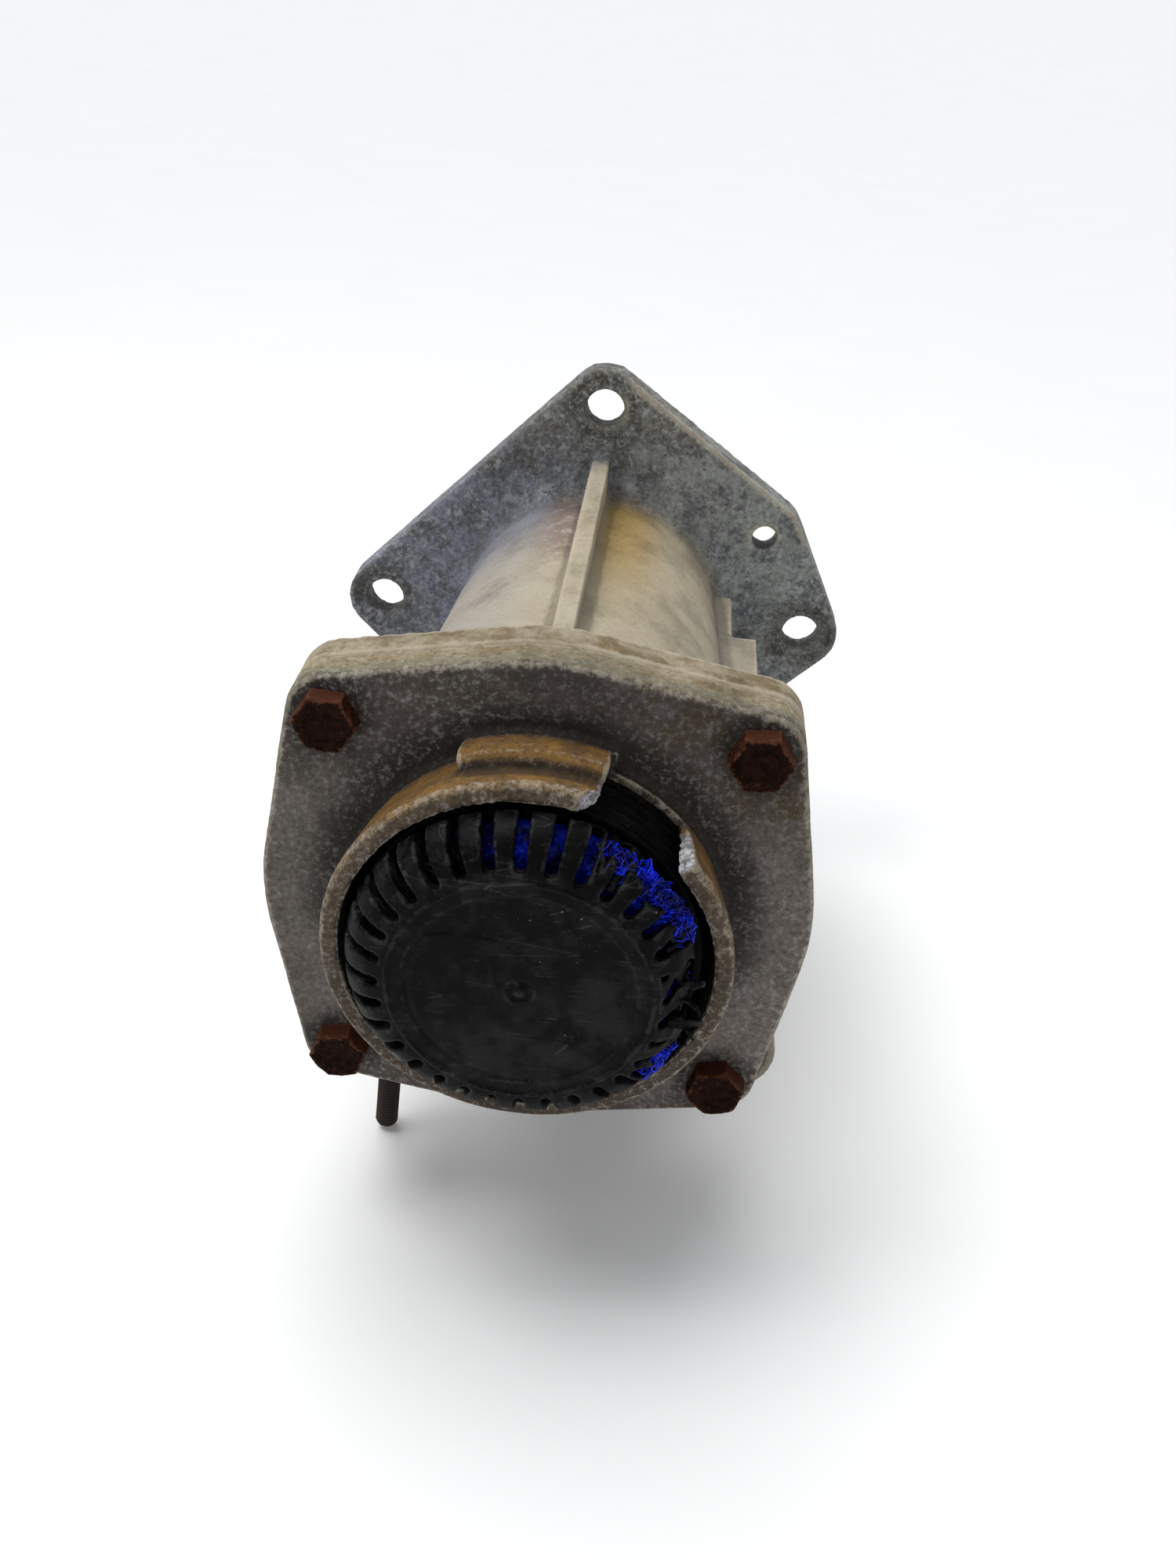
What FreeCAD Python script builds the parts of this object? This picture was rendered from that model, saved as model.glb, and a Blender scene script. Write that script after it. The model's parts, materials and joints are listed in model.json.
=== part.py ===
import FreeCAD, Part
import math
import os
import Sketcher

# Pneumatic dual-circuit foot brake valve: flange-mounted body, exhaust cover and silencer.
# Frame: millimetres, +Z up, valve axis along Y, origin at the centre of the mounting face.
# Depths are measured from the mounting face towards the silencer, so a depth d lies at Y = -d.

SIZES = {
    # mounting plate
    "plate_thick": 8.0,
    "mount_reach": 53.0,
    "mount_hole_rad": 4.5,
    "corner_rad": 9.3,
    "spot_rad": 8.2,
    "spot_deep": 0.5,
    "locate_across": 41.0,
    "locate_up": 24.5,
    "locate_rad": 3.0,
    "recess_rad": 26.0,
    "recess_deep": 3.0,
    # body casting
    "neck_rear_rad": 32.0,
    "neck_front_rad": 38.0,
    "neck_fillet": 6.0,
    "rib_thick": 4.2,
    "rib_top": 41.5,
    "flange_rear": 119.2,
    "joint_face": 126.6,
    "cover_face": 134.0,
    "bulge_rad": 49.3,
    "lobe_rad": 7.5,
    "bolt_half": 36.0,
    "edge_round": 1.2,
    "port_face": 40.0,
    "port_half": 12.0,
    "rear_block_face": 34.6,
    "rear_block_half": 11.4,
    "block_root": 20.0,
    "port_rad": 7.19,
    "port_deep": 10.0,
    "side_gap": 0.5,
    "upper_delivery": 50.0,
    "upper_supply": 70.0,
    "lower_delivery": 96.0,
    "lower_supply": 105.0,
    "drill_rad": 3.2,
    "lug_across": 38.5,
    "lug_down": 41.0,
    "lug_rad": 10.0,
    "lug_start": 107.0,
    "lug_hole_off": 1.5,
    # bores
    "upper_bore": 20.0,
    "upper_bore_end": 58.0,
    "seat_bore": 10.0,
    "partition_end": 64.0,
    "lower_bore": 24.0,
    "fit_gap": 0.05,
    "clip_start": 5.0,
    "clip_thick": 1.5,
    "clip_groove": 21.4,
    "clip_inner": 18.4,
    "clip_gap": 0.1,
    "clip_half_opening": 3.0,
    # steady stud
    "stud_rad": 2.5,
    "stud_across": 31.5,
    "stud_depth": 114.0,
    "stud_tip": 76.0,
    "stud_top": 38.0,
    "stud_tilt": 4.0,
    "stud_lug_half": 8.0,
    "stud_lug_low": 44.0,
    "stud_lug_tall": 20.0,
    "stud_bevel": 0.8,
    # cover bolts
    "bolt_rad": 3.0,
    "bolt_flats": 10.0,
    "bolt_head": 4.0,
    "bolt_long": 16.0,
    "bolt_clear": 3.3,
    "bolt_hole_end": 117.2,
    "bolt_head_round": 0.5,
    # exhaust cover
    "shroud_foot": 33.4,
    "shroud_rad": 35.5,
    "shroud_bore": 32.0,
    "shroud_rim": 149.0,
    "rim_bevel": 0.8,
    "rim_straight": 2.0,
    "pad_rad": 38.2,
    "pad_angle": 41.0,
    "pad_end": 143.6,
    "pad_slope": 1.6,
    "pad_bevel": 1.0,
    "panel_half": 36.0,
    "panel_low": 12.0,
    "panel_high": 27.0,
    "panel_proud": 0.6,
    "break_start": 42.0,
    "break_angle": 30.0,
    "break_floor": 136.0,
    "spigot_start": 100.0,
    "lower_seat_end": 103.0,
    "lower_chamber": 14.0,
    "gallery_floor": 21.0,
    "gallery_end": 112.0,
    "chamber_end": 127.0,
    "exhaust_bore": 11.0,
    "seal_rad": 29.0,
    "seal_wire": 1.0,
    "seal_groove_half": 1.4,
    # silencer
    "base_start": 134.2,
    "base_rad": 31.2,
    "base_top": 145.0,
    "cap_rad": 30.8,
    "cap_face": 157.0,
    "cap_flat": 22.5,
    "cap_wall": 2.2,
    "slot_count": 32.0,
    "slot_inner": 23.3,
    "slot_wide": 2.3,
    "slot_deep": 10.6,
    "tear_start": -40.0,
    "tear_angle": 106.0,
    "tear_rad": 26.4,
    "tear_top": 153.4,
    "mesh_inner": 9.0,
    "mesh_outer": 27.6,
    "mesh_start": 138.6,
    "mesh_end": 151.6,
    "flap_rad": 14.0,
    "flap_thick": 1.1,
    "flap_stem": 3.0,
    "flap_gap": 0.1,
    "shoulder_wide": 4.6,
    "shoulder_drop": 1.5,
    "skirt_start": 8.0,
    "skirt_step": 1.0,
    "skirt_round": 4.4,
    "skirt_gap": 0.3,
    "base_hub": 3.3,
    "base_seat": 5.0,
    "base_foot": 16.0,
    "base_cup": 28.2,
    "base_floor": 2.4,
    "ridge_proud": 1.0,
    "ridge_pitch": 3.0,
    "ridge_first": 1.5,
    "ridge_half": 0.6,
    "vent_inner": 7.5,
    "vent_outer": 14.5,
    "vent_start": 8.0,
    "vent_angle": 44.0,
    "vent_count": 6.0,
    "mesh_slope": 4.0,
    # moving set
    "plunger_rad": 8.0,
    "plunger_nose": 16.0,
    "plunger_head": 15.0,
    "nose_bevel": 1.2,
    "travel_gap": 0.3,
    "guide_start": 6.6,
    "guide_end": 12.0,
    "head_end": 17.0,
    "spring_end": 32.0,
    "crown_start": 32.3,
    "crown_end": 39.5,
    "stem_rad": 7.0,
    "stem_bore": 4.5,
    "upper_stem_end": 62.6,
    "upper_valve_start": 64.3,
    "lower_stem_end": 101.4,
    "lower_valve_start": 103.3,
    "valve_disc": 12.5,
    "valve_disc_thick": 3.0,
    "valve_sleeve": 6.0,
    "valve_sleeve_long": 14.0,
    "relay_start": 84.0,
    "relay_end": 90.0,
    "ring_wire": 1.3,
    "ring_land": 2.0,
    "relay_land": 1.4,
    "ring_slot": 3.2,
    "ring_slack": 0.05,
    "spring_gap": 0.2,
    "return_spring_rad": 15.5,
    "return_spring_wire": 1.1,
    "return_spring_turns": 3.5,
    "relay_spring_rad": 16.0,
    "relay_spring_wire": 0.9,
    "relay_spring_turns": 2.0,
    "valve_spring_rad": 8.0,
    "valve_spring_wire": 0.7,
    "valve_spring_turns": 3.5,
    "valve_spring_room": 12.0,
    "guide_thick": 5.0,
    "relay_bore": 7.5,
    "relay_stem_rad": 8.5,
    "rubber_rad": 13.0,
    "rubber_waist": 14.5,
    "rubber_middle": 24.5,
    # boot
    "boot_lip": 0.3,
    "boot_wall": 1.6,
    "boot_start": 12.2,
    "boot_pitch": 2.2,
    "boot_first_fold": 11.0,
    "boot_fold_deep": 2.6,
    "boot_rim": 22.0,
}

doc = FreeCAD.newDocument("foot_brake_valve")
sheet = doc.addObject("Spreadsheet::Sheet", "Sizes")
for row, (alias, value) in enumerate(SIZES.items(), start=1):
    sheet.set(f"A{row}", alias)
    sheet.set(f"B{row}", str(value))
    sheet.setAlias(f"B{row}", alias)
doc.recompute()

nodes = []


def expand(text):
    """Write a size expression with each alias referred to in the sheet."""
    words = []
    word = ""
    for letter in text + " ":
        if letter.isalnum() or letter == "_":
            word += letter
            continue
        words.append(f"Sizes.{word}" if word in SIZES else word)
        words.append(letter)
        word = ""
    return "".join(words).strip()


def number(text):
    """Value of a size expression."""
    result = sheet.evalExpression(expand(text))
    return float(getattr(result, "Value", result))


def new_body(label):
    body = doc.addObject("PartDesign::Body", label)
    body.Label = label
    nodes.append(body)
    return body


def new_sketch(body, name, role, offset="0"):
    sketch = body.newObject("Sketcher::SketchObject", name)
    plane = next(f for f in body.Origin.OriginFeatures if f.Role == role)
    sketch.AttachmentSupport = (plane, [""])
    sketch.MapMode = "FlatFace"
    sketch.setExpression("AttachmentOffset.Base.z", expand(offset))
    return sketch


def pin(sketch, line, end, across, up):
    """Hold one end of a sketch element at a place given by two expressions."""
    for kind, axis, text in (("DistanceX", -2, across), ("DistanceY", -1, up)):
        if text == "0":
            sketch.addConstraint(Sketcher.Constraint("PointOnObject", line, end, axis))
            continue
        index = sketch.addConstraint(Sketcher.Constraint(kind, -1, 1, line, end, number(text)))
        sketch.setExpression(f"Constraints[{index}]", expand(text))


def polygon(sketch, points):
    """Closed outline of straight lines, each corner held by its own expressions."""
    places = [FreeCAD.Vector(number(a), number(b), 0) for a, b in points]
    count = len(places)
    first = sketch.GeometryCount
    for i in range(count):
        sketch.addGeometry(Part.LineSegment(places[i], places[(i + 1) % count]))
    for i in range(count):
        following = first + (i + 1) % count
        sketch.addConstraint(Sketcher.Constraint("Coincident", first + i, 2, following, 1))
    for i, (across, up) in enumerate(points):
        pin(sketch, first + i, 1, across, up)


def circle(sketch, across, up, radius):
    place = FreeCAD.Vector(number(across), number(up), 0)
    index = sketch.addGeometry(Part.Circle(place, FreeCAD.Vector(0, 0, 1), number(radius)))
    held = sketch.addConstraint(Sketcher.Constraint("Radius", index, number(radius)))
    sketch.setExpression(f"Constraints[{held}]", expand(radius))
    pin(sketch, index, 3, across, up)


def rounded_outline(sketch, rounds):
    """Outline of arcs joined by their common tangents; rounds run anticlockwise."""
    centres = [FreeCAD.Vector(number(a), number(b), 0) for a, b, _ in rounds]
    radii = [number(r) for _, _, r in rounds]
    count = len(rounds)
    normals = []
    for i in range(count):
        step = centres[(i + 1) % count] - centres[i]
        lean = (radii[i] - radii[(i + 1) % count]) / step.Length
        along = step / step.Length
        outward = FreeCAD.Vector(along.y, -along.x, 0)
        normals.append(along * lean + outward * math.sqrt(1 - lean**2))
    for i in range(count):
        start = math.atan2(normals[i - 1].y, normals[i - 1].x)
        end = math.atan2(normals[i].y, normals[i].x)
        whole = Part.Circle(centres[i], FreeCAD.Vector(0, 0, 1), radii[i])
        sketch.addGeometry(Part.ArcOfCircle(whole, start, end))
    for i in range(count):
        after = (i + 1) % count
        begin = centres[i] + normals[i] * radii[i]
        finish = centres[after] + normals[i] * radii[after]
        line = sketch.addGeometry(Part.LineSegment(begin, finish))
        sketch.addConstraint(Sketcher.Constraint("Tangent", i, 2, line, 1))
        sketch.addConstraint(Sketcher.Constraint("Tangent", line, 2, after, 1))
    for i, (across, up, radius) in enumerate(rounds):
        held = sketch.addConstraint(Sketcher.Constraint("Radius", i, radii[i]))
        sketch.setExpression(f"Constraints[{held}]", expand(radius))
        pin(sketch, i, 3, across, up)


def sector(sketch, inner, outer, start, angle, steps=5):
    """Ring sector as a polygon; angles in degrees, anticlockwise from +X."""
    turns = [f"({start} + {angle} * {i} / {steps})" for i in range(steps + 1)]
    points = [(f"({inner}) * cos({a})", f"({inner}) * sin({a})") for a in turns]
    points += [(f"({outer}) * cos({a})", f"({outer}) * sin({a})") for a in reversed(turns)]
    polygon(sketch, points)


def extrude(body, kind, name, sketch, length, reverse=False):
    feature = body.newObject(f"PartDesign::{kind}", name)
    feature.Profile = (sketch, [""])
    feature.setExpression("Length", expand(length))
    feature.Reversed = reverse
    return feature


def turn(body, kind, name, points, angle="360"):
    """Revolution or groove about the valve axis of points given as (radius, depth)."""
    sketch = new_sketch(body, f"{name}_profile", "YZ_Plane")
    polygon(sketch, [(f"-({depth})", radius) for radius, depth in points])
    feature = body.newObject(f"PartDesign::{kind}", name)
    feature.Profile = (sketch, [""])
    feature.ReferenceAxis = (sketch, ["H_Axis"])
    feature.setExpression("Angle", expand(angle))
    feature.Midplane = True
    return feature


def around(body, name, features, count):
    """Repeat features about the valve axis."""
    pattern = body.newObject("PartDesign::PolarPattern", name)
    pattern.Originals = features
    pattern.Axis = (features[0].Profile[0], ["N_Axis"])
    pattern.Angle = 360
    pattern.setExpression("Occurrences", expand(count))
    body.Tip = pattern
    return pattern


def round_edges(body, name, test, radius):
    """Fillet every edge of the body so far that passes the test."""
    doc.recompute()
    base = body.Tip
    edges = [f"Edge{i}" for i, e in enumerate(base.Shape.Edges, start=1) if test(e)]
    feature = body.newObject("PartDesign::Fillet", name)
    feature.Base = (base, edges)
    feature.setExpression("Radius", expand(radius))
    return feature


def at_depth(edge, text):
    """True for an edge that lies wholly at one depth."""
    box = edge.BoundBox
    level = -number(text)
    return abs(box.YMin - level) < 1e-4 and abs(box.YMax - level) < 1e-4


def turned_piece(label, points):
    body = new_body(label)
    turn(body, "Revolution", f"{label}_turn", points)
    return body


def ring_piece(label, radius, depth, wire):
    """Round-section ring about the valve axis."""
    body = new_body(label)
    sketch = new_sketch(body, f"{label}_section", "YZ_Plane")
    circle(sketch, f"-({depth})", radius, wire)
    feature = body.newObject("PartDesign::Revolution", f"{label}_turn")
    feature.Profile = (sketch, [""])
    feature.ReferenceAxis = (sketch, ["H_Axis"])
    feature.Angle = 360
    return body


def coil_spring(label, sizes, start, end):
    """Compression spring about the valve axis between two depths, with a gap at each end."""
    body = new_body(label)
    sketch = new_sketch(body, f"{label}_section", "YZ_Plane")
    wire = f"{sizes}_wire"
    circle(sketch, f"-({end} - {wire} - spring_gap)", f"{sizes}_rad", wire)
    feature = body.newObject("PartDesign::AdditiveHelix", f"{label}_coil")
    feature.Profile = (sketch, [""])
    feature.ReferenceAxis = (sketch, ["H_Axis"])
    feature.Mode = "height-turns-growth"
    feature.setExpression("Height", expand(f"({end}) - ({start}) - 2 * ({wire} + spring_gap)"))
    feature.setExpression("Turns", expand(f"{sizes}_turns"))
    return body


def flange_rounds():
    """Square bolt flange whose sides bulge to one large circle."""
    corners = (("bolt_half", "-bolt_half"), ("bolt_half", "bolt_half"))
    corners += (("-bolt_half", "bolt_half"), ("-bolt_half", "-bolt_half"))
    rounds = []
    for across, up in corners:
        rounds.append((across, up, "lobe_rad"))
        rounds.append(("0", "0", "bulge_rad"))
    return rounds


def build_valve_body():
    body = new_body("valve_body")

    plate = new_sketch(body, "plate_outline", "XZ_Plane")
    corners = (("0", "-mount_reach"), ("mount_reach", "0"), ("locate_across", "locate_up"))
    corners += (("0", "mount_reach"), ("-mount_reach", "0"))
    rounded_outline(plate, [(across, up, "corner_rad") for across, up in corners])
    extrude(body, "Pad", "plate_pad", plate, "plate_thick")

    neck = [("0", "plate_thick - 2"), ("neck_rear_rad + neck_fillet", "plate_thick - 2")]
    for angle in (90, 60, 40, 20, 0):
        radius = f"neck_rear_rad + neck_fillet * (1 - cos({angle}))"
        neck.append((radius, f"plate_thick + neck_fillet * (1 - sin({angle}))"))
    neck += [("neck_front_rad", "flange_rear + 2"), ("0", "flange_rear + 2")]
    turn(body, "Revolution", "neck", neck)

    flange = new_sketch(body, "flange_outline", "XZ_Plane", "flange_rear")
    rounded_outline(flange, flange_rounds())
    extrude(body, "Pad", "flange_pad", flange, "joint_face - flange_rear")

    rib = new_sketch(body, "rib_section", "XZ_Plane", "plate_thick - 1")
    half = "rib_thick / 2"
    low = "neck_rear_rad - 6"
    polygon(rib, [(f"-{half}", low), (half, low), (half, "rib_top"), (f"-{half}", "rib_top")])
    extrude(body, "Pad", "rib_pad", rib, "flange_rear - plate_thick + 2")

    first = "upper_delivery - port_half"
    start = "plate_thick + neck_fillet + side_gap"
    length = f"{first} + 1 - ({start})"
    block(body, "rear_block", 1, "rear_block_face", "rear_block_half", start, length)
    length = "lower_delivery - upper_delivery + 2 * port_half"
    block(body, "side_port_block", 1, "port_face", "port_half", first, length)
    first = "upper_supply - port_half"
    block(body, "under_port_block", -1, "port_face", "port_half", first, f"flange_rear + 1 - ({first})")

    lug = new_sketch(body, "lug_section", "XZ_Plane", "lug_start")
    circle(lug, "lug_across", "-lug_down", "lug_rad")
    extrude(body, "Pad", "bracket_lug", lug, "flange_rear - lug_start + 1")

    stud_lug = new_sketch(body, "stud_lug_section", "XZ_Plane", "stud_depth - stud_lug_half")
    left = "-(stud_across + stud_lug_half)"
    right = "-(stud_across - stud_lug_half)"
    high = "-(stud_lug_low - stud_lug_tall)"
    polygon(stud_lug, [(left, "-stud_lug_low"), (right, "-stud_lug_low"), (right, high), (left, high)])
    extrude(body, "Pad", "stud_lug", stud_lug, "flange_rear - stud_depth + stud_lug_half + 1")

    bores = [("0", "-1"), ("recess_rad", "-1"), ("recess_rad", "recess_deep")]
    bores += [("upper_bore", "recess_deep"), ("upper_bore", "clip_start"), ("clip_groove", "clip_start")]
    bores += [("clip_groove", "clip_start + clip_thick"), ("upper_bore", "clip_start + clip_thick")]
    bores += [("upper_bore", "upper_bore_end"), ("seat_bore", "upper_bore_end")]
    bores += [("seat_bore", "partition_end"), ("lower_bore", "partition_end")]
    bores += [("lower_bore", "joint_face + 1"), ("0", "joint_face + 1")]
    turn(body, "Groove", "bores", bores)

    hole = new_sketch(body, "mount_hole_section", "XZ_Plane", "plate_thick + 1")
    circle(hole, "0", "mount_reach", "mount_hole_rad")
    first_hole = extrude(body, "Pocket", "mount_hole", hole, "plate_thick + 2")
    around(body, "mount_holes", [first_hole], "4")
    spot = new_sketch(body, "spot_section", "XZ_Plane", "plate_thick + 1")
    circle(spot, "0", "mount_reach", "spot_rad")
    first_spot = extrude(body, "Pocket", "spot_face", spot, "1 + spot_deep")
    around(body, "spot_faces", [first_spot], "4")
    locate = new_sketch(body, "locating_hole_section", "XZ_Plane", "plate_thick + 1")
    circle(locate, "locate_across", "locate_up", "locate_rad")
    extrude(body, "Pocket", "locating_hole", locate, "plate_thick + 2")

    tapped = new_sketch(body, "cover_bolt_section", "XZ_Plane", "joint_face + 1")
    circle(tapped, "bolt_half", "bolt_half", "bolt_rad + fit_gap")
    first_tapped = extrude(body, "Pocket", "cover_bolt_hole", tapped, "joint_face + 1 - bolt_hole_end")
    around(body, "cover_bolt_holes", [first_tapped], "4")
    lug_hole = new_sketch(body, "lug_hole_section", "XZ_Plane", "lug_start - 1")
    circle(lug_hole, "lug_across + lug_hole_off", "-(lug_down + lug_hole_off)", "locate_rad")
    extrude(body, "Pocket", "lug_hole", lug_hole, "lug_rad", True)

    for name, depth in (("upper", "upper_delivery"), ("lower", "lower_delivery")):
        port_into(body, f"{name}_delivery", "YZ_Plane", f"-{depth}", "0", "port_face")
    for name, depth in (("upper", "upper_supply"), ("lower", "lower_supply")):
        port_into(body, f"{name}_supply", "XY_Plane", "0", f"-{depth}", "-port_face")

    stud_hole = tilted_sketch(body, "stud_hole_section", "stud_top")
    circle(stud_hole, "0", "0", "stud_rad + fit_gap")
    extrude(body, "Pocket", "stud_hole", stud_hole, "stud_lug_low - stud_top + 4")
    return body


def block(body, name, side, face, half, start, length):
    """Cast block that stands out of the neck, to the right for side 1 or below for side -1."""
    sketch = new_sketch(body, f"{name}_section", "XZ_Plane", start)
    if side == 1:
        corners = [("block_root", f"-({half})"), (face, f"-({half})"), (face, half), ("block_root", half)]
    else:
        corners = [(f"-({half})", f"-({face})"), (half, f"-({face})"), (half, "-block_root")]
        corners += [(f"-({half})", "-block_root")]
    polygon(sketch, corners)
    extrude(body, "Pad", name, sketch, length)


def tilted_sketch(body, name, drop):
    """Sketch square to the steady stud's leaning axis, a given drop below the valve axis."""
    sketch = new_sketch(body, name, "XY_Plane", f"-({drop})")
    lean = f"({drop} - stud_lug_low) * tan(stud_tilt)"
    place = FreeCAD.Vector(0, 0, 0)
    turn_by = FreeCAD.Rotation(FreeCAD.Vector(0, 1, 0), -number("stud_tilt"))
    sketch.AttachmentOffset = FreeCAD.Placement(place, turn_by)
    sketch.setExpression("AttachmentOffset.Base.x", expand(f"{lean} - stud_across"))
    sketch.setExpression("AttachmentOffset.Base.y", expand("-stud_depth"))
    sketch.setExpression("AttachmentOffset.Base.z", expand(f"-({drop})"))
    return sketch


def port_into(body, name, role, across, up, face):
    """Threaded port with a small drilling through to the bore."""
    outward = "-1" if face.startswith("-") else "1"
    for part, radius, start, length in (
        ("thread", "port_rad", f"{face} + {outward}", "port_deep + 1"),
        ("drilling", "drill_rad", f"{face} + {outward}", "port_face / 2"),
    ):
        sketch = new_sketch(body, f"{name}_{part}_section", role, start)
        circle(sketch, across, up, radius)
        extrude(body, "Pocket", f"{name}_{part}", sketch, length, outward == "-1")


def build_exhaust_cover():
    body = new_body("exhaust_cover")
    flange = new_sketch(body, "cover_outline", "XZ_Plane", "joint_face")
    rounded_outline(flange, flange_rounds())
    extrude(body, "Pad", "cover_pad", flange, "cover_face - joint_face")
    round_edges(body, "cover_round", lambda e: at_depth(e, "cover_face"), "edge_round")

    panel = new_sketch(body, "panel_section", "YZ_Plane", "-panel_half")
    wedge = [("-(cover_face - 1)", "panel_low"), ("-(cover_face + panel_proud)", "panel_low")]
    wedge += [("-(cover_face - 0.1)", "panel_high"), ("-(cover_face - 1)", "panel_high")]
    polygon(panel, wedge)
    extrude(body, "Pad", "panel", panel, "2 * panel_half")

    shroud = [("0", "cover_face - 2"), ("shroud_foot", "cover_face - 2")]
    shroud += [("shroud_foot", "cover_face"), ("shroud_rad", "shroud_rim - rim_straight")]
    shroud += [("shroud_rad", "shroud_rim - rim_bevel"), ("shroud_rad - rim_bevel", "shroud_rim")]
    shroud += [("0", "shroud_rim")]
    turn(body, "Revolution", "shroud", shroud)
    build_pad(body)

    spigot = [("0", "spigot_start"), ("lower_bore - fit_gap", "spigot_start")]
    spigot += [("lower_bore - fit_gap", "joint_face + 1"), ("0", "joint_face + 1")]
    turn(body, "Revolution", "spigot", spigot)
    gallery = [("gallery_floor", "lower_seat_end"), ("lower_bore + 1", "lower_seat_end")]
    gallery += [("lower_bore + 1", "gallery_end"), ("gallery_floor", "gallery_end")]
    turn(body, "Groove", "supply_gallery", gallery)

    bores = [("0", "spigot_start - 1"), ("seat_bore", "spigot_start - 1")]
    bores += [("seat_bore", "lower_seat_end"), ("lower_chamber", "lower_seat_end")]
    bores += [("lower_chamber", "chamber_end"), ("exhaust_bore", "chamber_end")]
    bores += [("exhaust_bore", "cover_face"), ("shroud_bore", "cover_face")]
    bores += [("shroud_bore", "shroud_rim + 1"), ("0", "shroud_rim + 1")]
    turn(body, "Groove", "cover_bores", bores)

    inlet = new_sketch(body, "inlet_section", "XY_Plane")
    circle(inlet, "0", "-(lower_supply + 2)", "drill_rad")
    extrude(body, "Pocket", "inlet", inlet, "lower_bore")
    near = "seal_rad - seal_groove_half"
    far = "seal_rad + seal_groove_half"
    floor = "joint_face + 2 * seal_wire"
    seal_groove = [(near, "joint_face - 1"), (far, "joint_face - 1"), (far, floor), (near, floor)]
    turn(body, "Groove", "seal_groove", seal_groove)

    hole = new_sketch(body, "bolt_hole_section", "XZ_Plane", "cover_face + 1")
    circle(hole, "bolt_half", "bolt_half", "bolt_clear")
    first_hole = extrude(body, "Pocket", "bolt_hole", hole, "cover_face - joint_face + 2")
    around(body, "bolt_holes", [first_hole], "4")

    missing = new_sketch(body, "broken_section", "XZ_Plane", "shroud_rim + 1")
    sector(missing, "shroud_bore - 1", "pad_rad + 4", "break_start", "break_angle")
    extrude(body, "Pocket", "broken_away", missing, "shroud_rim + 1 - break_floor")
    return body


def build_pad(body):
    """Thickened stretch on top of the shroud, ending behind its rim."""
    sketch = new_sketch(body, "pad_profile", "XY_Plane")
    sketch.AttachmentOffset = FreeCAD.Placement(
        FreeCAD.Vector(0, 0, 0), FreeCAD.Rotation(FreeCAD.Vector(0, 1, 0), -90)
    )
    inner = "shroud_bore - 1"
    points = [(inner, "-(cover_face - 1)"), ("pad_rad - pad_slope", "-(cover_face - 1)")]
    points += [("pad_rad", "-(pad_end - 3 * pad_bevel)"), ("pad_rad", "-(pad_end - pad_bevel)")]
    points += [("pad_rad - pad_bevel", "-(pad_end)"), (inner, "-(pad_end + pad_bevel)")]
    polygon(sketch, points)
    feature = body.newObject("PartDesign::Revolution", "top_pad")
    feature.Profile = (sketch, [""])
    feature.ReferenceAxis = (sketch, ["V_Axis"])
    feature.setExpression("Angle", expand("pad_angle"))
    feature.Midplane = True


def build_cover_bolts():
    """Four hexagon-head screws."""
    body = new_body("cover_bolts")
    body.AllowCompound = True
    shank = new_sketch(body, "shank_section", "XZ_Plane", "cover_face - bolt_long")
    circle(shank, "bolt_half", "bolt_half", "bolt_rad")
    first_shank = extrude(body, "Pad", "shank", shank, "bolt_long + 1")
    head = new_sketch(body, "head_section", "XZ_Plane", "cover_face")
    reach = "bolt_flats / sqrt(3)"
    corners = []
    for i in range(6):
        across = f"bolt_half + {reach} * cos({60 * i})"
        corners.append((across, f"bolt_half + {reach} * sin({60 * i})"))
    polygon(head, corners)
    first_head = extrude(body, "Pad", "head", head, "bolt_head")
    around(body, "four_screws", [first_shank, first_head], "4")
    round_edges(body, "head_round", lambda e: at_depth(e, "cover_face + bolt_head"), "bolt_head_round")


def build_silencer():
    """Slotted cap, base cup with clip ridges, flap and the filter pad between them."""
    build_cap()
    build_base()

    mesh = [("mesh_inner", "mesh_start"), ("mesh_outer", "mesh_start")]
    mesh += [("mesh_outer", "mesh_end - mesh_slope"), ("mesh_outer - 0.9 * mesh_slope", "mesh_end")]
    mesh += [("mesh_inner", "mesh_end")]
    turned_piece("silencer_mesh", mesh)

    seat = "cover_face + flap_gap"
    rim = f"{seat} + flap_thick"
    stem_end = "mesh_start - flap_gap - skirt_gap"
    flap = [("0", seat), ("flap_rad", seat), ("flap_rad", rim), ("flap_stem", f"{rim} + flap_thick / 2")]
    flap += [("flap_stem", stem_end), ("0", stem_end)]
    turned_piece("exhaust_flap", flap)


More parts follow.
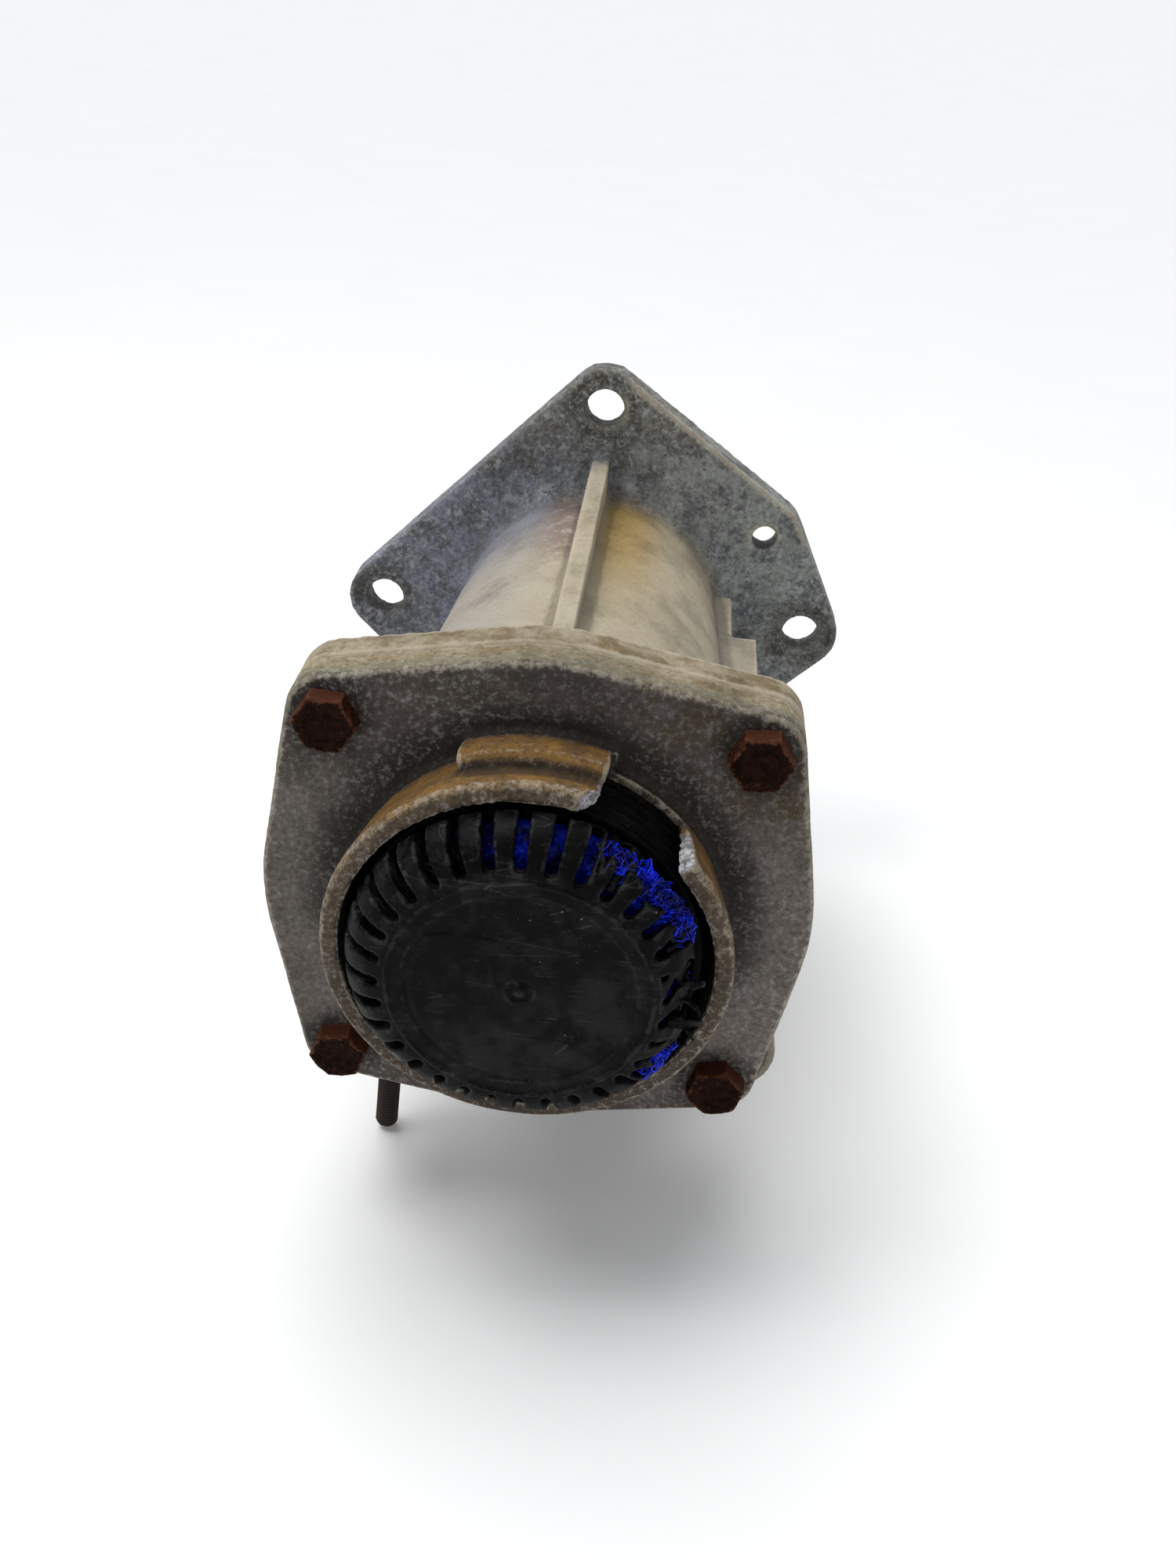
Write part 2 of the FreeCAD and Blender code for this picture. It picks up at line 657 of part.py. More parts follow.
def build_cap():
    """Shell with slots over its shoulder, part of it torn away."""
    cap = new_body("silencer_cap")
    low = "base_top + skirt_gap"
    skirt = "cap_face - skirt_start"
    outer = [("0", "cap_face"), ("cap_flat", "cap_face")]
    outer += [("cap_flat + shoulder_wide", "cap_face - shoulder_drop")]
    outer += [("cap_rad - skirt_step", "cap_face - skirt_round"), ("cap_rad", skirt)]
    outer += [("cap_rad", low), ("cap_rad - cap_wall", low)]
    inner = [("cap_rad - cap_wall", skirt)]
    inner += [("cap_rad - skirt_step - cap_wall", "cap_face - skirt_round - skirt_step")]
    inner += [("cap_flat + 0.7 * shoulder_wide", "cap_face - 0.8 * shoulder_drop - cap_wall")]
    inner += [("cap_flat", "cap_face - cap_wall"), ("0", "cap_face - cap_wall")]
    turn(cap, "Revolution", "cap_shell", outer + inner)
    slot = new_sketch(cap, "slot_section", "XZ_Plane", "cap_face + 1")
    half = "slot_wide / 2"
    end = "cap_rad + 3"
    polygon(slot, [("slot_inner", f"-{half}"), (end, f"-{half}"), (end, half), ("slot_inner", half)])
    first_slot = extrude(cap, "Pocket", "slot", slot, "slot_deep + 1")
    around(cap, "slots", [first_slot], "slot_count")
    torn = new_sketch(cap, "torn_section", "XZ_Plane", "tear_top")
    sector(torn, "tear_rad", "cap_rad + 2", "tear_start", "tear_angle", 8)
    extrude(cap, "Pocket", "torn_away", torn, "tear_top - base_top")


def build_base():
    """Cup with three clip ridges and six vents in its floor."""
    cup = new_body("silencer_base")
    hub = "base_start + base_floor"
    step = "base_start + base_floor * 3 / 4"
    foot = "base_rad - ridge_proud"
    floor = "mesh_start - skirt_gap"
    base = [("base_hub", hub), ("base_seat", hub), ("base_seat", step), ("base_foot", step)]
    base += [("base_foot", "base_start"), (foot, "base_start")]
    for i in range(3):
        low = f"base_start + ridge_first + {i} * ridge_pitch"
        base += [(foot, low), ("base_rad", f"{low} + ridge_half")]
        base += [("base_rad", f"{low} + 2 * ridge_half"), (foot, f"{low} + 3 * ridge_half")]
    base += [(foot, "base_top"), ("base_cup", "base_top"), ("base_cup", floor), ("base_hub", floor)]
    turn(cup, "Revolution", "base_turn", base)
    vent = new_sketch(cup, "vent_section", "XZ_Plane", "mesh_start + 1")
    sector(vent, "vent_inner", "vent_outer", "vent_start", "vent_angle", 3)
    first_vent = extrude(cup, "Pocket", "vent", vent, "mesh_start + 2 - base_start")
    around(cup, "vents", [first_vent], "vent_count")


def build_upper_circuit():
    """Plunger, boot, guide, spring and reaction piston with its valve."""
    nose = "-plunger_nose"
    head = "guide_end + travel_gap"
    plunger = [("0", nose), ("plunger_rad - nose_bevel", nose), ("plunger_rad", f"{nose} + nose_bevel")]
    plunger += [("plunger_rad", head), ("plunger_head", head), ("plunger_head", "head_end")]
    plunger += [("0", "head_end")]
    turned_piece("plunger", plunger)
    build_boot()

    near = "clip_start + clip_gap"
    far = "clip_start + clip_thick - clip_gap"
    edge = "clip_groove - clip_gap"
    clip = [("clip_inner", near), (edge, near), (edge, far), ("clip_inner", far)]
    circlip = turned_piece("guide_circlip", clip)
    gap = new_sketch(circlip, "clip_opening_section", "XZ_Plane", "clip_start - 1")
    half = "clip_half_opening"
    end = "clip_groove + 2"
    polygon(gap, [("seat_bore", f"-{half}"), (end, f"-{half}"), (end, half), ("seat_bore", half)])
    extrude(circlip, "Pocket", "clip_opening", gap, "clip_thick + 2", True)

    edge = "upper_bore - fit_gap"
    bore = "plunger_rad + fit_gap"
    guide = [(bore, "guide_start"), (edge, "guide_start"), (edge, "guide_end"), (bore, "guide_end")]
    turned_piece("plunger_guide", guide)

    start = "head_end + travel_gap"
    rubber = [("stem_bore", start), ("rubber_rad", start), ("rubber_waist", "rubber_middle")]
    rubber += [("rubber_rad", "spring_end"), ("stem_bore", "spring_end")]
    turned_piece("graduating_spring", rubber)

    piston = [("stem_bore", "crown_start"), (edge, "crown_start"), (edge, "crown_start + ring_land")]
    piston += ring_groove("upper_bore", "crown_start + ring_land")
    piston += [(edge, "crown_end"), ("stem_rad", "crown_end")]
    piston += [("stem_rad", "upper_stem_end - 1"), ("stem_rad - 1", "upper_stem_end")]
    piston += [("stem_bore", "upper_stem_end")]
    turned_piece("reaction_piston", piston)
    seal_ring("reaction_piston_seal", "upper_bore", "crown_start + ring_land")
    start = "crown_end + travel_gap"
    coil_spring("reaction_return_spring", "return_spring", start, "upper_bore_end - travel_gap")

    build_valve("upper", "upper_valve_start", "partition_end + valve_spring_room", "lower_bore")


def build_boot():
    """Ribbed rubber boot that widens from the plunger to the recess in the plate."""
    folds = []
    for i in range(6):
        radius = f"boot_first_fold + boot_pitch * {i}"
        depth = f"boot_pitch * ({i} + 0.27) - boot_start"
        folds.append((radius, depth))
        folds.append((f"{radius} + boot_fold_deep", f"{depth} + boot_pitch / 2"))
    lip = "plunger_rad + boot_lip"
    rim = "recess_rad - boot_lip"
    outer = [(lip, "-boot_start")] + folds + [(rim, "1.2"), (rim, "recess_deep - 0.1")]
    outer += [("boot_rim", "recess_deep - 0.1")]
    inner = [(f"{radius} - boot_wall", f"{depth} + 0.75 * boot_wall") for radius, depth in reversed(folds)]
    turned_piece("plunger_boot", outer + inner + [(lip, "2 - boot_start")])


def ring_groove(bore, depth):
    """Corner points of a piston's seal groove."""
    floor = f"{bore} - fit_gap - 2 * ring_wire - ring_slack"
    rim = f"{bore} - fit_gap"
    return [(floor, depth), (floor, f"{depth} + ring_slot"), (rim, f"{depth} + ring_slot")]


def seal_ring(label, bore, depth):
    """Ring in the middle of a piston's seal groove."""
    ring_piece(label, f"{bore} - fit_gap - ring_wire", f"{depth} + ring_slot / 2", "ring_wire")


def build_valve(name, face, guide_start, housing):
    """Double-seat valve with its spring and guide."""
    sleeve_end = f"{face} + valve_disc_thick + valve_sleeve_long"
    disc_end = f"{face} + valve_disc_thick"
    valve = [("stem_bore", face), ("valve_disc", face), ("valve_disc", disc_end)]
    valve += [("valve_sleeve", disc_end), ("valve_sleeve", sleeve_end), ("stem_bore", sleeve_end)]
    turned_piece(f"{name}_valve", valve)
    bore = "valve_sleeve + fit_gap"
    guide_end = f"{guide_start} + guide_thick"
    rim = f"{housing} - fit_gap"
    guide = [(bore, guide_start), (rim, guide_start), (rim, guide_end), (bore, guide_end)]
    turned_piece(f"{name}_valve_guide", guide)
    coil_spring(f"{name}_valve_spring", "valve_spring", disc_end, guide_start)


def build_lower_circuit():
    """Relay piston with its spring and the lower valve."""
    edge = "lower_bore - fit_gap"
    piston = [("relay_bore", "relay_start"), (edge, "relay_start"), (edge, "relay_start + relay_land")]
    piston += ring_groove("lower_bore", "relay_start + relay_land")
    piston += [(edge, "relay_end"), ("relay_stem_rad", "relay_end")]
    piston += [("relay_stem_rad", "lower_stem_end"), ("stem_rad - 1", "lower_stem_end")]
    piston += [("stem_rad - 1", "relay_end"), ("relay_bore", "relay_end - 1")]
    turned_piece("relay_piston", piston)
    seal_ring("relay_piston_seal", "lower_bore", "relay_start + relay_land")
    coil_spring("relay_return_spring", "relay_spring", "relay_end", "spigot_start")
    build_valve("lower", "lower_valve_start", "lower_seat_end + valve_spring_room", "lower_chamber")


def build_small_parts():
    ring_piece("cover_seal", "seal_rad", "joint_face + seal_wire", "seal_wire - 0.02")
    stud = new_body("steady_stud")
    sketch = tilted_sketch(stud, "stud_section", "stud_top")
    circle(sketch, "0", "0", "stud_rad")
    extrude(stud, "Pad", "stud_shank", sketch, "stud_tip - stud_top", True)
    low = number("stud_tip") - 1
    round_edges(stud, "stud_end", lambda e: e.BoundBox.ZMax < -low, "stud_bevel")


build_valve_body()
build_exhaust_cover()
build_cover_bolts()
build_silencer()
build_upper_circuit()
build_lower_circuit()
build_small_parts()
doc.recompute()

for item in doc.Objects:
    if "Invalid" in item.State or "Error" in item.State:
        raise RuntimeError(f"{item.Name} failed: {item.State}")
for body in nodes:
    if body.Shape.isNull() or not body.Shape.isValid():
        raise RuntimeError(f"{body.Label} has no valid shape")

os.makedirs("parts", exist_ok=True)
for body in nodes:
    body.Shape.exportStep(f"parts/{body.Label}.step")
    box = body.Shape.BoundBox
    print(f"{body.Label}: {len(body.Shape.Solids)} solids, {body.Shape.Volume:.0f} mm3, {box}")
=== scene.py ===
"""Looks of the foot brake valve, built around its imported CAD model.

Metres, in the CAD frame: the valve axis lies along Y, the mounting face at Y = 0 and the silencer towards -Y.
Depth is measured from the mounting face towards the silencer, so a depth d lies at Y = -d.
"""
import json
import math
import random

import bmesh
import bpy
import numpy as np
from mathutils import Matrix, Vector, noise


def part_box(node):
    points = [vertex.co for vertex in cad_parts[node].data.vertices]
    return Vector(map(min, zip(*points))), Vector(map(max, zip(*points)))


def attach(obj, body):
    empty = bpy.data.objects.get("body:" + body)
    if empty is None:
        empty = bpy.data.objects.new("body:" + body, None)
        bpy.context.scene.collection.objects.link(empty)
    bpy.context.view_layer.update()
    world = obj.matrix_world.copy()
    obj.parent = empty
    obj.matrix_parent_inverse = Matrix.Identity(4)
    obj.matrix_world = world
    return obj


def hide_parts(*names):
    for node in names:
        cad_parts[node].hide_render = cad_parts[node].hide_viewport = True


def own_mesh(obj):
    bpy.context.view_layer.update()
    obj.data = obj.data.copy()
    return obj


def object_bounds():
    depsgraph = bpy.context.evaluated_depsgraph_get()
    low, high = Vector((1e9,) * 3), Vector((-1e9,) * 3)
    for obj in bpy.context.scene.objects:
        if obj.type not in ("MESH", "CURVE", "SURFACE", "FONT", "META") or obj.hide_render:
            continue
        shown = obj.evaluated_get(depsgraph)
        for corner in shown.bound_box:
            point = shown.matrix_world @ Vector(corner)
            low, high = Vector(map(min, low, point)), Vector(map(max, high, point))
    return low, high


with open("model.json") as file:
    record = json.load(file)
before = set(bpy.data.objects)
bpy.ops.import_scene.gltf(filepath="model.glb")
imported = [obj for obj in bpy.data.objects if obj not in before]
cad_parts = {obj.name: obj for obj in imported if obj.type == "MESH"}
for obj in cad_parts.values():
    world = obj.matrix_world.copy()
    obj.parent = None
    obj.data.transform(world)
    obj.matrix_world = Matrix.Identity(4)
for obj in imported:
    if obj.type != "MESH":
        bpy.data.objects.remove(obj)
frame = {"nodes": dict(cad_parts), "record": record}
CAD_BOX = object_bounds()
NODES = frame["nodes"]
MM = 0.001

# Places read from the frame.
CAP_LOW, CAP_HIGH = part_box("silencer_cap")
CAP_FACE = -CAP_LOW.y
CAP_RADIUS = CAP_HIGH.x
MESH_FACE = -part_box("silencer_mesh")[0].y
BOLT_FACE = -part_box("cover_bolts")[0].y

# Places and sizes that repeat the CAD model's.
PLATE_THICK = 8 * MM
HOLE_REACH = 53 * MM
COVER_FACE = 134 * MM
SHROUD_RIM = 149 * MM
GAP = (42, 72)  # degrees, where the shroud is broken away
BOLT_HALF = 36 * MM
BOLT_FLATS = 10 * MM
STUD_LEAN = math.radians(4)
SLOT_COUNT = 32

# Wire radius, turns and travel of each coil spring.
SPRINGS = {
    "reaction_return_spring": (1.1 * MM, 3.5, 3.5 * MM),
    "upper_valve_spring": (0.7 * MM, 3.5, 2.2 * MM),
    "relay_return_spring": (0.9 * MM, 2, 3.0 * MM),
    "lower_valve_spring": (0.7 * MM, 3.5, 1.8 * MM),
}

# How the cap is torn, in degrees: the whole stretch, and what is left of its ribs (from, to, radius).
TORN = (-40, 66)
TORN_RIBS = ((-26, 24, 30.2 * MM), (24, 48, 27.8 * MM), (48, 66, 29.2 * MM))
TORN_TO = 25.6 * MM


# ---------------------------------------------------------------- materials

def colour(red, green, blue):
    """Screen colour, 0 to 255, as the linear colour that a shader takes."""
    linear = []
    for level in (red, green, blue):
        share = level / 255
        linear.append(share / 12.92 if share <= 0.04045 else ((share + 0.055) / 1.055) ** 2.4)
    return (*linear, 1.0)


class Paint:
    """One material's node tree. Textures use object coordinates, in metres."""

    def __init__(self, name, metallic=0.0, specular=0.5):
        self.material = bpy.data.materials.new(name)
        self.material.use_nodes = True
        self.tree = self.material.node_tree
        self.shader = self.tree.nodes["Principled BSDF"]
        self.shader.inputs["Metallic"].default_value = metallic
        self.shader.inputs["Specular IOR Level"].default_value = specular
        self.place = self.add("ShaderNodeTexCoord").outputs["Object"]
        split = self.add("ShaderNodeSeparateXYZ")
        self.put(split.inputs[0], self.place)
        self.x, self.y, self.z = split.outputs

    def add(self, kind):
        return self.tree.nodes.new(kind)

    def put(self, socket, value):
        """Link a socket to another one, or give it a plain value."""
        if isinstance(value, bpy.types.NodeSocket):
            self.tree.links.new(value, socket)
        else:
            socket.default_value = value

    def noise(self, size, detail, rough):
        """Cloudy noise about 0.5 with features of the given size."""
        texture = self.add("ShaderNodeTexNoise")
        texture.inputs["Scale"].default_value = 1 / size
        texture.inputs["Detail"].default_value = detail
        texture.inputs["Roughness"].default_value = rough
        self.put(texture.inputs["Vector"], self.place)
        return texture.outputs["Fac"]

    def stretched(self, stretch):
        """Object coordinates that make a texture longer along each axis by a factor."""
        mapping = self.add("ShaderNodeMapping")
        mapping.inputs["Scale"].default_value = [1 / part for part in stretch]
        self.put(mapping.inputs["Vector"], self.place)
        return mapping.outputs[0]

    def cell_edges(self, size, stretch):
        """Distance to the nearest edge between cells, in cell sizes."""
        texture = self.add("ShaderNodeTexVoronoi")
        texture.feature = "DISTANCE_TO_EDGE"
        texture.inputs["Scale"].default_value = 1 / size
        self.put(texture.inputs["Vector"], self.stretched(stretch))
        return texture.outputs["Distance"]

    def calc(self, kind, first, second=0.0):
        node = self.add("ShaderNodeMath")
        node.operation = kind
        self.put(node.inputs[0], first)
        self.put(node.inputs[1], second)
        return node.outputs[0]

    def step(self, value, low, high, start=0.0, end=1.0):
        """Smooth change from start to end while a value goes from low to high."""
        node = self.add("ShaderNodeMapRange")
        node.interpolation_type = "SMOOTHSTEP"
        for name, level in (("From Min", low), ("From Max", high), ("To Min", start), ("To Max", end)):
            node.inputs[name].default_value = level
        self.put(node.inputs["Value"], value)
        return node.outputs["Result"]

    def times(self, *shares):
        result = shares[0]
        for share in shares[1:]:
            result = self.calc("MULTIPLY", result, share)
        return result

    def blend(self, share, under, over, kind="MIX"):
        node = self.add("ShaderNodeMix")
        node.data_type = "RGBA"
        node.blend_type = kind
        self.put(node.inputs[0], share)
        self.put(node.inputs[6], under)
        self.put(node.inputs[7], over)
        return node.outputs[2]

    def attribute(self, name):
        node = self.add("ShaderNodeAttribute")
        node.attribute_name = name
        return node.outputs["Fac"]

    def upward(self, low, high):
        """1 where the surface faces up."""
        split = self.add("ShaderNodeSeparateXYZ")
        self.put(split.inputs[0], self.add("ShaderNodeNewGeometry").outputs["Normal"])
        return self.step(split.outputs[2], low, high)

    def radius(self, across=0.0, up=0.0, mirror=False):
        """Distance from a line along Y; mirror repeats the line in all four quarters."""
        side = self.calc("ABSOLUTE", self.x) if mirror else self.x
        rise = self.calc("ABSOLUTE", self.z) if mirror else self.z
        side = self.calc("SUBTRACT", side, across)
        rise = self.calc("SUBTRACT", rise, up)
        square = self.calc("ADD", self.times(side, side), self.times(rise, rise))
        return self.calc("SQRT", square)

    def depth(self):
        return self.calc("MULTIPLY", self.y, -1.0)

    def bump(self, layers):
        """Stack of (height socket, relief in metres)."""
        normal = None
        for height, relief in layers:
            node = self.add("ShaderNodeBump")
            node.inputs["Strength"].default_value = 1.0
            node.inputs["Distance"].default_value = relief
            self.put(node.inputs["Height"], height)
            if normal is not None:
                self.put(node.inputs["Normal"], normal)
            normal = node.outputs[0]
        self.put(self.shader.inputs["Normal"], normal)

    def finish(self, base, roughness):
        self.put(self.shader.inputs["Base Color"], base)
        self.put(self.shader.inputs["Roughness"], roughness)
        return self.material


def casting_layers(paint, base, speckle, pits, worn, dirt):
    """Both castings' pale speckle, dark pits, worn edges and darkening in hollows, partly dirt and partly painted
    crease shade, each with its strength.

    Returns the colour and the roughness.
    """
    wear = paint.attribute("wear")
    hollow = paint.attribute("hollow")
    patches = paint.noise(14 * MM, 5, 0.62)
    crystals = paint.noise(1.1 * MM, 6, 0.78)
    grain = paint.noise(0.7 * MM, 5, 0.75)
    fine = paint.noise(0.3 * MM, 3, 0.7)
    base = paint.blend(paint.step(patches, 0.44, 0.68, 0.0, 0.35), base, colour(98, 86, 70), "MULTIPLY")
    light = paint.times(paint.step(crystals, 0.5, 0.62), paint.step(patches, 0.3, 0.6, 1.0, 0.45))
    base = paint.blend(paint.times(light, speckle), base, colour(182, 182, 178))
    base = paint.blend(paint.times(paint.step(crystals, 0.47, 0.36), pits), base, colour(44, 42, 40))
    base = paint.blend(paint.times(paint.step(grain, 0.62, 0.7), speckle), base, colour(206, 203, 194))
    base = paint.blend(paint.times(paint.step(grain, 0.41, 0.3), pits), base, colour(36, 32, 28))
    edge = paint.calc("ADD", paint.times(wear, 0.6), paint.calc("MULTIPLY", crystals, 0.9))
    edge = paint.times(paint.step(edge, 0.72, 0.98), paint.step(wear, 0.1, 0.5))
    base = paint.blend(paint.times(edge, worn), base, colour(190, 180, 160))
    # Partly dirt, partly painted shade: folds and hollows darken to a dark brown.
    crease_dirt_and_shade = paint.step(paint.calc("ADD", hollow, paint.calc("MULTIPLY", patches, 0.5)), 0.55, 1.1)
    base = paint.blend(paint.times(crease_dirt_and_shade, dirt), base, colour(36, 29, 22))
    swells = paint.noise(4 * MM, 4, 0.6)
    paint.bump([(swells, 0.3 * MM), (crystals, 0.2 * MM), (grain, 0.14 * MM), (fine, 0.05 * MM)])
    return base, paint.step(grain, 0.3, 0.75, 0.78, 0.5)


def body_paint():
    paint = Paint("cast_body", metallic=0.05, specular=0.3)
    depth = paint.depth()
    wide = paint.noise(24 * MM, 4, 0.6)
    cloud = paint.noise(6 * MM, 6, 0.68)

    plate = paint.blend(paint.step(paint.x, -30 * MM, 25 * MM), colour(116, 121, 134), colour(138, 142, 138))
    plate = paint.blend(paint.step(cloud, 0.42, 0.6), plate, colour(92, 95, 98))
    top = paint.times(paint.step(paint.z, 30 * MM, 50 * MM), paint.step(wide, 0.35, 0.6))
    plate = paint.blend(paint.times(top, 0.5), plate, colour(104, 96, 78))
    neck = paint.blend(paint.step(wide, 0.38, 0.62), colour(182, 172, 150), colour(170, 158, 134))
    # Painted shade: the neck's lower sides, turned away from the light above, go grey.
    neck_underside_shade = paint.step(paint.z, 24 * MM, 4 * MM)
    neck = paint.blend(paint.times(neck_underside_shade, 0.7), neck, colour(118, 115, 108))
    left = paint.step(paint.x, -3 * MM, -20 * MM)
    neck = paint.blend(paint.times(left, 0.5), neck, colour(142, 138, 138))
    foot = paint.times(paint.step(depth, 56 * MM, 14 * MM), paint.step(paint.x, 6 * MM, -14 * MM))
    neck = paint.blend(paint.times(foot, 0.75), neck, colour(118, 122, 138))
    stain = paint.times(
        paint.step(paint.x, 1 * MM, 4 * MM),
        paint.step(paint.x, 22 * MM, 7 * MM),
        paint.step(depth, 90 * MM, 30 * MM),
        paint.step(paint.z, 18 * MM, 30 * MM),
    )
    neck = paint.blend(paint.times(stain, 0.9), neck, colour(160, 132, 70))
    red = paint.times(
        paint.step(paint.x, -1 * MM, -4 * MM),
        paint.step(paint.x, -16 * MM, -7 * MM),
        paint.step(depth, 75 * MM, 30 * MM),
        paint.step(paint.z, 22 * MM, 30 * MM),
        paint.step(cloud, 0.35, 0.5),
    )
    neck = paint.blend(paint.times(red, 0.75), neck, colour(122, 98, 86))
    base = paint.blend(paint.step(depth, PLATE_THICK, 15 * MM), plate, neck)
    flange = paint.blend(paint.step(cloud, 0.4, 0.6), colour(156, 144, 120), colour(116, 99, 68))
    # Partly tan oxide, partly painted light from above: the flange's upward faces keep the pale tan and the faces
    # turned away take a darker grey as painted shade.
    flange = paint.blend(paint.upward(-0.2, 0.6), colour(98, 94, 86), flange)
    base = paint.blend(paint.step(depth, 116 * MM, 119.5 * MM), base, flange)

    rings = paint.step(paint.calc("SUBTRACT", hole_distance(paint), 7 * MM), 0.0, 5 * MM, 0.75, 0.0)
    rings = paint.times(rings, paint.step(depth, 20 * MM, 10 * MM), paint.step(cloud, 0.3, 0.6, 0.5, 1.0))
    base = paint.blend(rings, base, colour(64, 63, 54))
    speckle = paint.step(depth, PLATE_THICK, 16 * MM, 0.62, 0.2)
    pits = paint.step(depth, PLATE_THICK, 16 * MM, 0.62, 0.22)
    flakes = paint.noise(2.6 * MM, 4, 0.65)
    flakes = paint.times(
        paint.step(flakes, 0.53, 0.63), paint.step(depth, 14 * MM, PLATE_THICK), paint.step(wide, 0.3, 0.6)
    )
    base = paint.blend(paint.times(flakes, 0.6), base, colour(172, 176, 182))
    worn = paint.calc("MAXIMUM", paint.step(depth, 14 * MM, 20 * MM, 0.06, 0.35), paint.times(
        paint.step(paint.x, 2 * MM, 8 * MM), paint.step(paint.z, 20 * MM, 26 * MM), 0.5
    ))
    base, roughness = casting_layers(paint, base, speckle, pits, worn, 0.35)
    return paint.finish(base, roughness)


def hole_distance(paint):
    """Distance from the nearest of the four mounting holes."""
    upper = paint.calc("MINIMUM", paint.radius(0, HOLE_REACH), paint.radius(0, -HOLE_REACH))
    sides = paint.calc("MINIMUM", paint.radius(HOLE_REACH, 0), paint.radius(-HOLE_REACH, 0))
    return paint.calc("MINIMUM", upper, sides)


def cover_paint():
    paint = Paint("cast_cover", metallic=0.05, specular=0.3)
    depth = paint.depth()
    wide = paint.noise(20 * MM, 4, 0.6)
    cloud = paint.noise(5 * MM, 6, 0.7)

    face = paint.blend(paint.step(wide, 0.38, 0.62), colour(112, 103, 98), colour(94, 88, 80))
    between = paint.times(paint.step(paint.z, 18 * MM, 32 * MM), paint.step(cloud, 0.3, 0.6, 0.6, 1.0))
    face = paint.blend(paint.times(between, 0.85), face, colour(56, 48, 42))
    ochre_side = paint.times(paint.step(paint.x, 4 * MM, 24 * MM), paint.step(paint.z, 14 * MM, 26 * MM))
    face = paint.blend(paint.times(ochre_side, paint.step(cloud, 0.4, 0.6), 0.6), face, colour(84, 66, 38))
    rim_side = paint.blend(paint.step(cloud, 0.4, 0.62), colour(146, 134, 108), colour(122, 104, 72))
    rim_side = paint.blend(paint.times(paint.step(depth, 129 * MM, 132 * MM), 0.7), rim_side, colour(120, 116, 96))
    outside = paint.step(depth, 133.6 * MM, 132.6 * MM)
    base = paint.blend(outside, face, rim_side)

    shroud = paint.times(paint.step(depth, 134.6 * MM, 138 * MM), paint.step(paint.radius(), 46 * MM, 42 * MM))
    ochre = paint.blend(paint.step(cloud, 0.36, 0.62), colour(126, 90, 34), colour(90, 66, 30))
    metal = paint.blend(paint.step(cloud, 0.36, 0.62), colour(86, 66, 42), colour(46, 34, 22))
    # Partly ochre oxide, partly painted light from above: the shroud's upward faces take the lighter ochre, the
    # rest the darker brown metal as painted shade.
    tone = paint.blend(paint.upward(0.1, 0.7), metal, ochre)
    rim = paint.times(paint.step(depth, 146.5 * MM, 148.4 * MM), paint.step(cloud, 0.35, 0.55))
    tone = paint.blend(paint.times(rim, 0.5), tone, colour(112, 94, 72))
    # Painted shade: the shroud darkens towards its lower side, away from the light above.
    tone = paint.blend(paint.step(paint.z, 14 * MM, -26 * MM, 0.0, 0.6), tone, colour(54, 42, 30))
    base = paint.blend(shroud, base, tone)
    # Painted shade: the shroud's inner wall and the floor of its cup, deep inside under the cap, go near black.
    inside = paint.times(paint.step(paint.radius(), 32.9 * MM, 32.3 * MM), paint.step(depth, 130 * MM, 134 * MM))
    base = paint.blend(paint.times(inside, 0.95), base, colour(22, 15, 11))

    # Dark band where the shroud meets the cover face, stronger towards the top: partly oily dirt, partly painted
    # shade in the corner.
    junction_dirt_and_shade = paint.times(
        paint.step(paint.radius(), 43.5 * MM, 36.5 * MM),
        paint.step(depth, 137.5 * MM, 134.5 * MM),
        paint.step(depth, 133 * MM, 133.8 * MM),
        paint.step(cloud, 0.3, 0.55, 0.75, 1.0),
        paint.step(paint.z, -30 * MM, 10 * MM, 0.45, 1.0),
    )
    base = paint.blend(paint.times(junction_dirt_and_shade, 0.95), base, colour(27, 21, 18))
    # Painted shadow: the cover goes dark brown below the shroud, where its bottom lies in shadow.
    low = paint.times(paint.step(paint.z, -26 * MM, -44 * MM), paint.step(cloud, 0.3, 0.6, 0.5, 1.0))
    base = paint.blend(paint.times(low, 0.7), base, colour(44, 36, 27))
    halo = paint.step(paint.radius(BOLT_HALF, BOLT_HALF, True), 5.6 * MM, 10 * MM, 0.9, 0.0)
    halo = paint.times(halo, paint.step(depth, 130 * MM, 133 * MM), paint.step(cloud, 0.3, 0.6, 0.6, 1.0))
    base = paint.blend(halo, base, colour(38, 29, 20))
    lines = paint.calc("ABSOLUTE", paint.calc("SUBTRACT", paint.calc("ABSOLUTE", paint.x), BOLT_HALF))
    lines = paint.times(
        paint.step(lines, 0.7 * MM, 0.1 * MM),
        paint.step(paint.z, 11 * MM, 12.5 * MM),
        paint.step(paint.z, 28 * MM, 18 * MM),
        paint.step(depth, 133 * MM, 133.8 * MM),
        paint.step(depth, 136 * MM, 135 * MM),
    )
    base = paint.blend(paint.times(lines, 0.55), base, colour(40, 33, 27))
    speckle = paint.step(paint.times(shroud, paint.upward(0.1, 0.7)), 0.3, 0.7, 0.36, 0.1)
    speckle = paint.calc("ADD", speckle, paint.times(rim, 0.16))
    pits = paint.step(depth, 146 * MM, 148.4 * MM, 0.55, 0.85)
    base, roughness = casting_layers(paint, base, speckle, pits, 0.38, 0.7)
    crystal = paint.step(paint.noise(1.1 * MM, 5, 0.8), 0.4, 0.6)
    sparkle = paint.blend(crystal, colour(110, 108, 110), colour(200, 198, 200))
    base = paint.blend(paint.attribute("fracture"), base, sparkle)
    return paint.finish(base, roughness)


